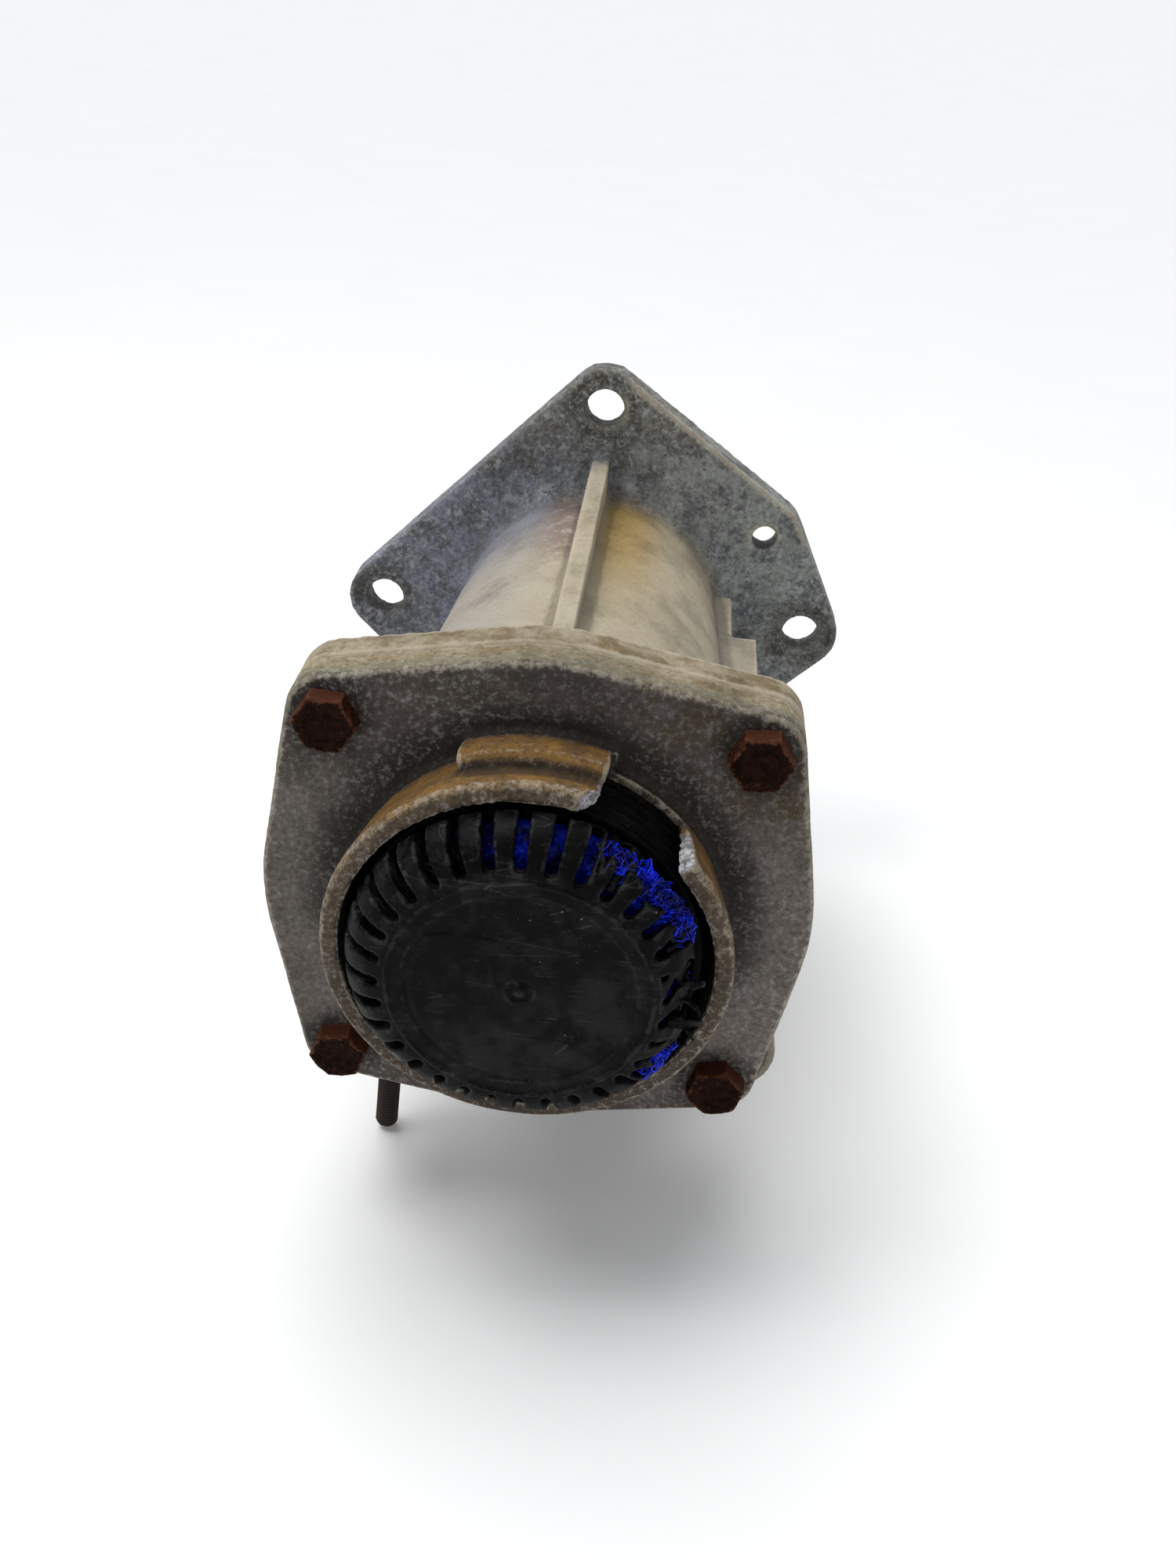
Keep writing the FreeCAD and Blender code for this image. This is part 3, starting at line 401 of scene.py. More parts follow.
def rust_paint():
    paint = Paint("rusty_steel", specular=0.04)
    flake = paint.noise(1.4 * MM, 6, 0.7)
    grain = paint.noise(0.4 * MM, 4, 0.7)
    base = paint.blend(paint.step(flake, 0.35, 0.65), colour(14, 6, 5), colour(36, 15, 8))
    base = paint.blend(paint.step(grain, 0.58, 0.7, 0.0, 0.4), base, colour(84, 38, 16))
    edge = paint.step(paint.calc("ADD", paint.attribute("wear"), paint.calc("MULTIPLY", grain, 0.5)), 0.55, 0.9)
    base = paint.blend(paint.times(edge, 0.6), base, colour(104, 66, 46))
    # Painted light: the screws' upward facets are painted lighter, as if lit from above.
    side = paint.times(paint.upward(0.2, 0.7), 0.6)
    base = paint.blend(side, base, colour(78, 44, 30))
    paint.bump([(flake, 0.25 * MM), (grain, 0.12 * MM)])
    return paint.finish(base, paint.step(flake, 0.3, 0.7, 0.8, 0.45))


def dark_steel_paint():
    paint = Paint("dark_steel", specular=0.12)
    flake = paint.noise(1.8 * MM, 6, 0.7)
    base = paint.blend(paint.step(flake, 0.35, 0.65), colour(24, 20, 20), colour(46, 33, 28))
    base = paint.blend(paint.times(paint.attribute("wear"), 0.5), base, colour(78, 70, 66))
    paint.bump([(flake, 0.12 * MM)])
    return paint.finish(base, paint.step(flake, 0.3, 0.7, 0.4, 0.7))


def black_plastic_paint():
    paint = Paint("black_plastic", specular=0.05)
    dust = paint.noise(6 * MM, 6, 0.7)
    grain = paint.noise(0.5 * MM, 4, 0.6)
    base = paint.blend(paint.step(dust, 0.45, 0.62), colour(7, 7, 8), colour(27, 26, 27))
    scratches = paint.cell_edges(5 * MM, (6, 1, 0.5))
    line = paint.step(scratches, 0.02, 0.0)
    base = paint.blend(paint.times(line, paint.step(dust, 0.45, 0.6), 0.6), base, colour(70, 70, 74))
    edge = paint.step(paint.calc("ADD", paint.attribute("wear"), paint.calc("MULTIPLY", grain, 0.4)), 0.6, 0.95)
    broken_up = paint.step(paint.noise(3 * MM, 4, 0.7), 0.45, 0.62, 0.02, 0.4)
    base = paint.blend(paint.times(edge, broken_up), base, colour(60, 58, 58))
    specks = paint.step(paint.noise(0.7 * MM, 2, 0.5), 0.74, 0.8)
    base = paint.blend(paint.times(specks, 0.7), base, colour(150, 140, 126))
    # Partly scuffing, partly painted sheen: the disc's lower right is painted a lighter grey.
    lower_right = paint.calc("SUBTRACT", paint.times(paint.x, 0.5), paint.times(paint.z, 0.86))
    scuff_and_sheen = paint.times(
        paint.step(lower_right, -3 * MM, 7 * MM),
        paint.step(paint.radius(), 22 * MM, 20 * MM),
        paint.step(paint.noise(7 * MM, 5, 0.65), 0.38, 0.62),
    )
    base = paint.blend(paint.times(scuff_and_sheen, 0.6), base, colour(42, 40, 39))
    # Painted shade: every part of the cap lying deeper than its face, such as the slot walls and the skirt, goes
    # near black.
    deep_part_shade = paint.step(paint.depth(), 148.5 * MM, 145 * MM)
    base = paint.blend(paint.times(deep_part_shade, 0.85), base, colour(3, 3, 3))
    paint.bump([(dust, 0.1 * MM), (grain, 0.03 * MM)])
    return paint.finish(base, paint.step(dust, 0.35, 0.7, 0.34, 0.6))


def rubber_paint():
    paint = Paint("black_rubber", specular=0.15)
    dust = paint.noise(5 * MM, 6, 0.7)
    grain = paint.noise(0.6 * MM, 3, 0.6)
    base = paint.blend(paint.step(dust, 0.4, 0.7), colour(28, 27, 27), colour(64, 58, 50))
    paint.bump([(dust, 0.1 * MM), (grain, 0.04 * MM)])
    return paint.finish(base, paint.step(dust, 0.35, 0.7, 0.6, 0.85))


def blue_mesh_paint():
    paint = Paint("blue_mesh", specular=0.25)
    shade = paint.noise(2.2 * MM, 4, 0.7)
    base = paint.blend(paint.step(shade, 0.35, 0.65), colour(4, 16, 150), colour(14, 54, 255))
    dirt = paint.step(paint.noise(5 * MM, 4, 0.6), 0.48, 0.6, 0.0, 0.8)
    base = paint.blend(dirt, base, colour(12, 14, 40))
    # Painted shade: the pad goes near black except in the torn-open upper right and one patch lower right, where
    # the cap does not shade it.
    toward = paint.calc("ADD", paint.times(paint.x, 0.64), paint.times(paint.z, 0.77))
    unshaded_open_part = paint.step(toward, 10 * MM, 18 * MM)
    patch = paint.step(paint.radius(22 * MM, -14.5 * MM), 7.5 * MM, 5 * MM)
    unshaded_open_part = paint.calc("MAXIMUM", unshaded_open_part, patch)
    base = paint.blend(paint.calc("SUBTRACT", 1.0, unshaded_open_part), base, colour(8, 8, 14))
    paint.bump([(shade, 0.1 * MM)])
    return paint.finish(base, paint.step(shade, 0.3, 0.7, 0.3, 0.5))


def turned_paint(name, light, dark, metallic):
    """Lathe-turned metal, or a moulding with fine rings, round the valve axis."""
    groove = 0.35 * MM
    paint = Paint(name, metallic=metallic)
    rings = paint.add("ShaderNodeTexWave")
    rings.wave_type = "BANDS"
    rings.bands_direction = "Y"
    rings.inputs["Scale"].default_value = 0.3 / groove
    rings.inputs["Distortion"].default_value = 0.6
    paint.put(rings.inputs["Vector"], paint.place)
    smear = paint.noise(4 * MM, 5, 0.6)
    base = paint.blend(paint.step(smear, 0.35, 0.7), light, dark)
    base = paint.blend(paint.step(paint.noise(0.8 * MM, 3, 0.6), 0.66, 0.74, 0.0, 0.4), base, dark)
    paint.bump([(rings.outputs["Fac"], 0.01 * MM), (smear, 0.03 * MM)])
    return paint.finish(base, paint.step(smear, 0.3, 0.7, 0.28, 0.5))


def floor_paint():
    paint = Paint("floor_paper", specular=0.2)
    tone = paint.noise(60 * MM, 3, 0.5)
    return paint.finish(paint.blend(tone, colour(250, 250, 250), colour(246, 246, 245)), 0.9)


PAINTS = {
    "body": body_paint(),
    "cover": cover_paint(),
    "rusty_steel": rust_paint(),
    "dark_steel": dark_steel_paint(),
    "black_plastic": black_plastic_paint(),
    "black_rubber": rubber_paint(),
    "blue_mesh": blue_mesh_paint(),
    "machined_aluminium": turned_paint("machined_aluminium", colour(188, 190, 192), colour(150, 150, 150), 0.9),
    "brass": turned_paint("brass", colour(196, 164, 96), colour(150, 120, 66), 0.9),
    "plunger_steel": turned_paint("plunger_steel", colour(176, 174, 170), colour(120, 112, 100), 0.9),
    "spring_steel": turned_paint("spring_steel", colour(150, 150, 152), colour(104, 100, 96), 0.9),
    "white_plastic": turned_paint("white_plastic", colour(222, 218, 206), colour(204, 196, 178), 0.0),
    "floor": floor_paint(),
}


# ---------------------------------------------------------------- mesh tools

def new_piece(name, points, faces, paint):
    """Smooth-shaded object with its faces turned outward."""
    mesh = bpy.data.meshes.new(name)
    mesh.from_pydata([tuple(p) for p in points], [], [tuple(f) for f in faces])
    outward = bmesh.new()
    outward.from_mesh(mesh)
    bmesh.ops.recalc_face_normals(outward, faces=outward.faces)
    outward.to_mesh(mesh)
    outward.free()
    piece = bpy.data.objects.new(name, mesh)
    bpy.context.scene.collection.objects.link(piece)
    mesh.materials.append(PAINTS[paint])
    mesh.shade_smooth()
    return piece


def points_of(piece):
    flat = np.empty(len(piece.data.vertices) * 3, np.float32)
    piece.data.vertices.foreach_get("co", flat)
    return flat.reshape(-1, 3).astype(float)


def normals_of(piece):
    flat = np.empty(len(piece.data.vertices) * 3, np.float32)
    piece.data.vertices.foreach_get("normal", flat)
    return flat.reshape(-1, 3).astype(float)


def move_points(piece, points):
    piece.data.vertices.foreach_set("co", points.astype(np.float32).ravel())
    piece.data.update()


def neighbour_mean(piece):
    """Function that averages a value per vertex over each vertex's neighbours."""
    ends = np.empty(len(piece.data.edges) * 2, np.int32)
    piece.data.edges.foreach_get("vertices", ends)
    first, second = ends.reshape(-1, 2).T
    count = len(piece.data.vertices)
    share = np.maximum(np.bincount(first, minlength=count) + np.bincount(second, minlength=count), 1)

    def mean(values):
        total = np.bincount(first, values[second], count) + np.bincount(second, values[first], count)
        return total / share

    return mean


def noise_at(points, size, seed=0.0):
    """Noise from about -1 to 1 at each point."""
    shift = Vector((seed, seed * 1.7, -seed))
    return np.array([noise.noise(Vector(p) / size + shift) for p in points])


def store(piece, name, values):
    attribute = piece.data.attributes.new(name, "FLOAT", "POINT")
    attribute.data.foreach_set("value", values.astype(np.float32))


def mark_edges(piece, reach=0.5 * MM):
    """Store how sharp each point's edge is, as wear where it stands out and hollow where it folds in."""
    mean = neighbour_mean(piece)
    points = points_of(piece)
    normals = normals_of(piece)
    pull = sum((mean(points[:, i]) - points[:, i]) * normals[:, i] for i in range(3)) / reach
    sharp = mean(mean(np.clip(-pull, 0, 1)))
    folded = np.clip(pull, 0, 1)
    for _ in range(8):
        folded = mean(folded)
    store(piece, "wear", np.clip(sharp * 12, 0, 1))
    store(piece, "hollow", np.clip(folded * 25, 0, 1))


def apply_all(piece):
    """Replace a piece's mesh with what its modifiers make of it."""
    graph = bpy.context.evaluated_depsgraph_get()
    made = bpy.data.meshes.new_from_object(piece.evaluated_get(graph))
    piece.modifiers.clear()
    piece.data = made


def remesh(piece, size, smooth):
    """Even out a closed mesh, then smooth it some times, which rounds its edges."""
    modifier = piece.modifiers.new("even", "REMESH")
    modifier.mode = "VOXEL"
    modifier.voxel_size = size
    modifier.use_smooth_shade = True
    soften = piece.modifiers.new("soften", "SMOOTH")
    soften.iterations = smooth
    soften.factor = 0.5
    apply_all(piece)


def copy_of(node, name, paint):
    """Copy of a CAD node to work on."""
    piece = bpy.data.objects.new(name, NODES[node].data.copy())
    bpy.context.scene.collection.objects.link(piece)
    piece.data.materials.clear()
    piece.data.materials.append(PAINTS[paint])
    welded = bmesh.new()
    welded.from_mesh(piece.data)
    bmesh.ops.remove_doubles(welded, verts=welded.verts, dist=0.001 * MM)
    welded.to_mesh(piece.data)
    welded.free()
    return piece


def stand_for(piece, body, node):
    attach(piece, body)
    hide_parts(node)


def polar(points):
    """Each point's distance from the valve axis, and its angle in degrees from +X towards +Z."""
    return np.hypot(points[:, 0], points[:, 2]), np.degrees(np.arctan2(points[:, 2], points[:, 0]))


def along_radius(radius, angle, depth):
    """Point at a radius, an angle in radians and a depth."""
    return radius * math.cos(angle), -depth, radius * math.sin(angle)


def revolve(profile):
    """Points and faces of a closed (radius, depth) profile turned about the valve axis."""
    segments = 128
    points, faces = [], []
    rows = len(profile)
    for i in range(segments):
        angle = 2 * math.pi * i / segments
        points += [along_radius(radius, angle, depth) for radius, depth in profile]
    for i in range(segments):
        here, there = i * rows, (i + 1) % segments * rows
        for j in range(rows):
            k = (j + 1) % rows
            faces.append((here + j, here + k, there + k, there + j))
    return points, faces


def tube(path, radius, sides, closed=False, flat=1.0):
    """Points and faces of a tube along a list of points, round unless flattened."""
    line = np.array(path, float)
    count = len(line)
    ahead = np.roll(line, -1, 0) - np.roll(line, 1, 0)
    if not closed:
        ahead[0], ahead[-1] = line[1] - line[0], line[-1] - line[-2]
    ahead /= np.linalg.norm(ahead, axis=1)[:, None]
    across = np.cross(ahead, (0.31, 0.87, 0.39))
    across /= np.linalg.norm(across, axis=1)[:, None]
    over = np.cross(ahead, across)
    turns = np.arange(sides) * 2 * math.pi / sides
    ring = np.cos(turns)[None, :, None] * across[:, None] + np.sin(turns)[None, :, None] * over[:, None] * flat
    points = (line[:, None] + ring * radius).reshape(-1, 3)
    faces = []
    for i in range(count if closed else count - 1):
        for j in range(sides):
            here, there = i * sides, (i + 1) % count * sides
            faces.append((here + j, here + (j + 1) % sides, there + (j + 1) % sides, there + j))
    if not closed:
        faces.append(tuple(reversed(range(sides))))
        faces.append(tuple(range((count - 1) * sides, count * sides)))
    return points, faces


def prism(outline, front, back):
    """Points and faces of an (x, z) outline run from one depth to another."""
    points = [(x, -depth, z) for depth in (front, back) for x, z in outline]
    count = len(outline)
    faces = [(i, (i + 1) % count, (i + 1) % count + count, i + count) for i in range(count)]
    faces += [tuple(reversed(range(count))), tuple(range(count, 2 * count))]
    return points, faces


def joined(parts):
    """One list of points and faces from several."""
    points, faces = [], []
    for some_points, some_faces in parts:
        start = len(points)
        points.extend(tuple(p) for p in some_points)
        faces.extend(tuple(start + i for i in face) for face in some_faces)
    return points, faces


# ---------------------------------------------------------------- castings

def make_body():
    piece = copy_of("valve_body", "body_casting", "body")
    remesh(piece, 0.7 * MM, 3)
    points = points_of(piece)
    normals = normals_of(piece)
    outside = np.hypot(points[:, 0], points[:, 2]) > 26 * MM
    relief = noise_at(points, 9 * MM) * 0.10 * MM + noise_at(points, 2.5 * MM, 3) * 0.05 * MM
    move_points(piece, points + normals * (relief * outside - 0.06 * MM)[:, None])
    mark_edges(piece)
    stand_for(piece, "root", "valve_body")


def make_cover():
    piece = copy_of("exhaust_cover", "cover_casting", "cover")
    remesh(piece, 0.5 * MM, 2)
    points = points_of(piece)
    normals = normals_of(piece)
    outside = (np.hypot(points[:, 0], points[:, 2]) > 25 * MM) & (points[:, 1] < -126 * MM)
    relief = noise_at(points, 7 * MM, 5) * 0.10 * MM + noise_at(points, 2 * MM, 8) * 0.05 * MM
    points = points + normals * (relief * outside - 0.04 * MM)[:, None]
    broken = np.maximum(fracture_share(points), chip_corner(points))
    jag = noise_at(points, 2.2 * MM, 11) * 0.9 * MM + noise_at(points, 0.8 * MM, 13) * 0.35 * MM
    points = points - normals * (np.abs(jag) * broken)[:, None]
    move_points(piece, points)
    store(piece, "fracture", broken)
    mark_edges(piece)
    stand_for(piece, "root", "exhaust_cover")


def fracture_share(points):
    """1 on the faces where a piece of the shroud broke away, brightest near the rim."""
    radius, angle = polar(points)
    share = np.zeros(len(points))
    for cut, start in zip(GAP, (138 * MM, 143.5 * MM)):
        near = np.clip(1.6 - np.abs(angle - cut) / 0.9, 0, 1)
        share = np.maximum(share, near * np.clip((-points[:, 1] - start) / (1.5 * MM), 0, 1))
    return share * (radius > 31.5 * MM) * (radius < 40 * MM)


def chip_corner(points):
    """Slant the rim's corner beside the gap; returns 1 on the slanted face."""
    wide, deep = 5.5, 4.5 * MM
    radius, angle = polar(points)
    slant = np.clip((GAP[1] + wide - angle) / wide, 0, 1)
    slant *= (angle > GAP[1] - 2) * (radius > 31 * MM) * (radius < 36.5 * MM)
    left = SHROUD_RIM + 0.2 * MM - deep * slant
    over = np.clip(-points[:, 1] - left, 0, 5 * MM) * (slant > 0)
    points[:, 1] += over
    return np.clip(over / (0.15 * MM), 0, 1)


def hexagon_radius(angle, flats):
    """Distance from a hexagon's centre to its edge in one direction."""
    part = angle % (math.pi / 3) - math.pi / 6
    return flats / 2 / math.cos(part)


def bolt_column(angle):
    """(radius, height over the cover) down one side of a screw: dished face, chamfer, flank, shank."""
    head = BOLT_FACE - COVER_FACE
    shank, shank_end = 3.0 * MM, -15.8 * MM
    rim = hexagon_radius(angle, BOLT_FLATS - 0.1 * MM)
    flat = BOLT_FLATS / 2 * 0.93
    drop = (rim - flat) * 0.55
    dishes = [(0.25, 0.2 * MM), (0.5, 0.2 * MM), (0.62, 0.16 * MM), (0.7, 0.0), (0.86, 0.0), (1.0, 0.0)]
    column = [(flat * share, head - dish) for share, dish in dishes]
    column += [((flat + rim) / 2, head - drop * 0.4), (rim - 0.12 * MM, head - drop), (rim, head - drop - 0.3 * MM)]
    column += [(rim, (head - drop) * share) for share in (0.7, 0.45, 0.2, 0.02)]
    return column + [(shank, 0.0), (shank, -7.0 * MM), (shank, shank_end)]


def bolt(side, rise, tilt):
    """Points and faces of the screw in one corner, turned by some degrees."""
    steps = 72
    points, faces = [], []
    for i in range(steps):
        angle = 2 * math.pi * i / steps
        turned = angle + math.radians(tilt)
        for radius, high in bolt_column(angle):
            across = side * BOLT_HALF + radius * math.cos(turned)
            up = rise * BOLT_HALF + radius * math.sin(turned)
            points.append((across, -(COVER_FACE + high), up))
    rows = len(points) // steps
    for i in range(steps):
        here, there = i * rows, (i + 1) % steps * rows
        for j in range(rows - 1):
            faces.append((here + j, there + j, there + j + 1, here + j + 1))
    faces.append(tuple(i * rows for i in reversed(range(steps))))
    faces.append(tuple(i * rows + rows - 1 for i in range(steps)))
    return points, faces


def make_bolts():
    """Chamfered hexagon heads on their shanks, one piece like the CAD node."""
    tilts = {(1, 1): 4, (-1, 1): -3, (-1, -1): 9, (1, -1): 14}
    parts = [bolt(side, rise, tilt) for (side, rise), tilt in tilts.items()]
    piece = new_piece("cover_screws", *joined(parts), "rusty_steel")
    remesh(piece, 0.22 * MM, 1)
    points = points_of(piece)
    shown = points[:, 1] < -COVER_FACE - 0.2 * MM
    relief = noise_at(points, 1.6 * MM, 2) * 0.10 * MM + noise_at(points, 0.6 * MM, 4) * 0.06 * MM
    move_points(piece, points + normals_of(piece) * ((relief - 0.06 * MM) * shown)[:, None])
    mark_edges(piece, 0.25 * MM)
    stand_for(piece, "root", "cover_bolts")


def make_stud():
    """M5 stud with a rolled thread, leaning in the X-Z plane."""
    low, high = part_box("steady_stud")
    middle = (low + high) / 2
    half = (high.z - low.z) / 2 / math.cos(STUD_LEAN) - 0.2 * MM
    pitch, outer, deep = 0.8 * MM, 2.5 * MM, 0.45 * MM
    steps, sides = 380, 40
    points, faces = [], []
    for i in range(steps + 1):
        along = half * (2 * i / steps - 1)
        end = min(1.0, (half - abs(along)) / (0.9 * MM))
        for j in range(sides):
            turn = j / sides
            wave = abs(((along / pitch + turn) % 1) * 2 - 1)
            radius = (outer - deep * min(1, wave * 1.4)) * (0.78 + 0.22 * end) - 0.05 * MM
            side, out = radius * math.cos(2 * math.pi * turn), radius * math.sin(2 * math.pi * turn)
            points.append((
                middle.x + side * math.cos(STUD_LEAN) + along * math.sin(STUD_LEAN),
                middle.y + out,
                middle.z + along * math.cos(STUD_LEAN) - side * math.sin(STUD_LEAN),
            ))
    for i in range(steps):
        for j in range(sides):
            here, there = i * sides, (i + 1) * sides
            faces.append((here + j, here + (j + 1) % sides, there + (j + 1) % sides, there + j))
    faces.append(tuple(reversed(range(sides))))
    faces.append(tuple(range(steps * sides, (steps + 1) * sides)))
    piece = new_piece("stud_thread", points, faces, "dark_steel")
    mark_edges(piece, 0.15 * MM)
    stand_for(piece, "root", "steady_stud")


# ---------------------------------------------------------------- silencer

def cap_profile():
    """Closed section of the cap's shell: disc, rounded shoulder and skirt."""
    wall, shoulder, steps, inset, axis = 2.0 * MM, 8.2 * MM, 12, 0.1 * MM, 0.02 * MM
    centre_radius, centre_depth = 22.5 * MM, CAP_FACE - inset - shoulder
    skirt_end = -CAP_HIGH.y + 0.2 * MM

    def arc(reach, indices):
        turns = [math.radians(90 - 90 * i / steps) for i in indices]
        return [(centre_radius + reach * math.cos(turn), centre_depth + reach * math.sin(turn)) for turn in turns]

    outer = [(axis, CAP_FACE - inset)] + arc(shoulder, range(steps + 1)) + [(CAP_RADIUS - inset, skirt_end)]
    inner = [(CAP_RADIUS - inset - wall, skirt_end)] + arc(shoulder - wall, range(steps, -1, -1))
    return outer + inner + [(axis, CAP_FACE - inset - wall)]


def slot_cutter(angle):
    """Prism with a round inner end that cuts one slot."""
    start, end, half = 23.6 * MM, 36 * MM, 1.05 * MM
    outline = [(end, -half), (end, half)]
    for i in range(9):
        turn = math.radians(90 + 180 * i / 8)
        outline.append((start + half + half * math.cos(turn), half * math.sin(turn)))
    turned = [
        (out * math.cos(angle) - side * math.sin(angle), out * math.sin(angle) + side * math.cos(angle))
        for out, side in outline
    ]
    return prism(turned, CAP_FACE + 2 * MM, CAP_FACE - 10.8 * MM)


def subtract(piece, cutter):
    modifier = piece.modifiers.new("cut", "BOOLEAN")
    modifier.operation = "DIFFERENCE"
    modifier.solver = "EXACT"
    modifier.use_self = True
    modifier.object = cutter
    apply_all(piece)
    bpy.data.objects.remove(cutter)


def tear_cutter():
    """Ragged block over the part of the skirt that is gone."""
    draw = random.Random(7)
    steps, beyond, ragged = 30, 36 * MM, (-1.1, 1.1)
    first, last = TORN
    inner, outer = [], []
    for i in range(steps + 1):
        degrees = first + (last - first) * i / steps
        angle = math.radians(degrees)
        kept = next((reach for start, end, reach in TORN_RIBS if start < degrees < end), TORN_TO)
        edge = kept + draw.uniform(*ragged) * MM
        inner.append((edge * math.cos(angle), edge * math.sin(angle)))
        outer.append((beyond * math.cos(angle), beyond * math.sin(angle)))
    return prism(inner + outer[::-1], CAP_FACE + 1 * MM, CAP_FACE - 14 * MM)


def make_cap():
    piece = new_piece("cap_moulding", *revolve(cap_profile()), "black_plastic")
    cutters = []
    for i in range(SLOT_COUNT):
        cutters.append(slot_cutter(2 * math.pi * (i + 0.15) / SLOT_COUNT))
    subtract(piece, new_piece("slot_cutters", *joined(cutters), "black_plastic"))
    subtract(piece, new_piece("tear_cutter", *tear_cutter(), "black_plastic"))
    remesh(piece, 0.3 * MM, 2)
    points = points_of(piece)
    radius, angle = polar(points)
    front = np.clip((CAP_FACE - 1.2 * MM + points[:, 1]) / (-0.5 * MM), 0, 1)
    points[:, 1] += disc_relief(points, radius) * front
    move_points(piece, crumple(points, radius, angle))
    mark_edges(piece, 0.25 * MM)
    stand_for(piece, "root", "silencer_cap")


def disc_relief(points, radius):
    """How far the disc's face lies back: step, ring, plain raised lens, ring dimple and waviness."""
    step_in = 0.35 * MM / (1 + np.exp((radius - 19.5 * MM) / (0.12 * MM)))
    ring = 0.28 * MM * np.exp(-((radius - 22.3 * MM) / (0.25 * MM)) ** 2)
    inside = np.minimum(17 * MM - np.hypot(points[:, 0] + 10 * MM, points[:, 2] + 6 * MM), 18.5 * MM - radius)
    lens = 0.22 * MM / (1 + np.exp(-inside / (0.1 * MM)))
    dimple = 0.7 * MM * np.exp(-((radius - 1.7 * MM) / (0.6 * MM)) ** 2)
    return step_in - ring - lens + dimple + noise_at(points, 8 * MM, 21) * 0.08 * MM


def crumple(points, radius, angle):
    """Bend the torn ribs: outer ends pushed in and swept upwards on the right."""
    out = np.clip((radius - 23.5 * MM) / (5 * MM), 0, 1.5)
    hurt = np.clip(1.3 - np.abs(angle + 2) / 26, 0, 1) * out
    rib = np.round((angle + 1.7) / (360 / SLOT_COUNT))
    own_way = np.sin(rib * 2.4)
    sweep = np.radians((6 + 7 * own_way) * hurt + noise_at(points, 4 * MM, 31) * 6 * hurt)
    press = (1.0 + own_way + 0.8 * noise_at(points, 3 * MM, 33)) * 1.1 * MM * hurt
    turned = points.copy()
    turned[:, 0] = points[:, 0] * np.cos(sweep) - points[:, 2] * np.sin(sweep)
    turned[:, 2] = points[:, 0] * np.sin(sweep) + points[:, 2] * np.cos(sweep)
    turned[:, 1] = points[:, 1] + np.clip(press, 0, 4 * MM)
    inward = 1 - 0.05 * hurt
    turned[:, 0] *= inward
    turned[:, 2] *= inward
    return turned


def make_base():
    piece = copy_of("silencer_base", "base_moulding", "black_plastic")
    remesh(piece, 0.4 * MM, 1)
    mark_edges(piece, 0.3 * MM)
    stand_for(piece, "root", "silencer_base")


def make_shreds():
    """Torn, curled strips of the cap between its broken ribs."""
    draw = random.Random(5)
    parts = []
    for degrees in (-33, -27, -21, -14, -8, -2, 5, 13, 20, 27, 58, 64):
        angle = math.radians(degrees + draw.uniform(-2, 2))
        radius = draw.uniform(25.5, 28.5) * MM
        centre = Vector(along_radius(radius, angle, CAP_FACE - draw.uniform(2.5, 5) * MM))
        parts.append(shred(draw, centre, angle, draw.uniform(3.5, 6.5) * MM, draw.uniform(1.2, 2.4) * MM))
    piece = new_piece("cap_shreds", *joined(parts), "black_plastic")
    mark_edges(piece, 0.25 * MM)
    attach(piece, "root")


def shred(draw, centre, angle, length, width):
    """One curled strip, a closed thin sheet."""
    along = Vector((math.cos(angle), draw.uniform(-0.2, 0.8), math.sin(angle))).normalized()
    across = along.cross(Vector([draw.gauss(0, 1) for _ in range(3)])).normalized()
    outward = along.cross(across)
    curl = draw.uniform(-1.2, 1.2)
    rows, columns = 14, 5
    sheet = []
    for i in range(rows):
        share = i / (rows - 1)
        taper = 1 - 0.6 * share * share
        for j in range(columns):
            side = (j / (columns - 1) - 0.5) * taper
            ragged = draw.uniform(-0.12, 0.12) * (j in (0, columns - 1))
            bend = curl * (share - 0.3) ** 2 + 0.5 * side * side
            sheet.append(
                centre + along * length * (share - 0.5) + across * width * (side + ragged) + outward * length * bend
            )
    thick = 0.45 * MM
    points = [p + outward * thick for p in sheet] + sheet
    return points, sheet_faces(rows, columns)


def sheet_faces(rows, columns):
    """Faces of a closed sheet whose two sides are grids of points, one after the other."""
    count = rows * columns
    faces = []
    for i in range(rows - 1):
        for j in range(columns - 1):
            corner = i * columns + j
            square = (corner, corner + 1, corner + columns + 1, corner + columns)
            faces += [square, tuple(count + k for k in reversed(square))]
    last = count - columns
    rim = list(range(columns)) + list(range(2 * columns - 1, count, columns))
    rim += list(range(count - 2, last - 1, -1)) + list(range(last - columns, 0, -columns))
    for k, here in enumerate(rim):
        there = rim[(k + 1) % len(rim)]
        faces.append((here, there, there + count, here + count))
    return faces


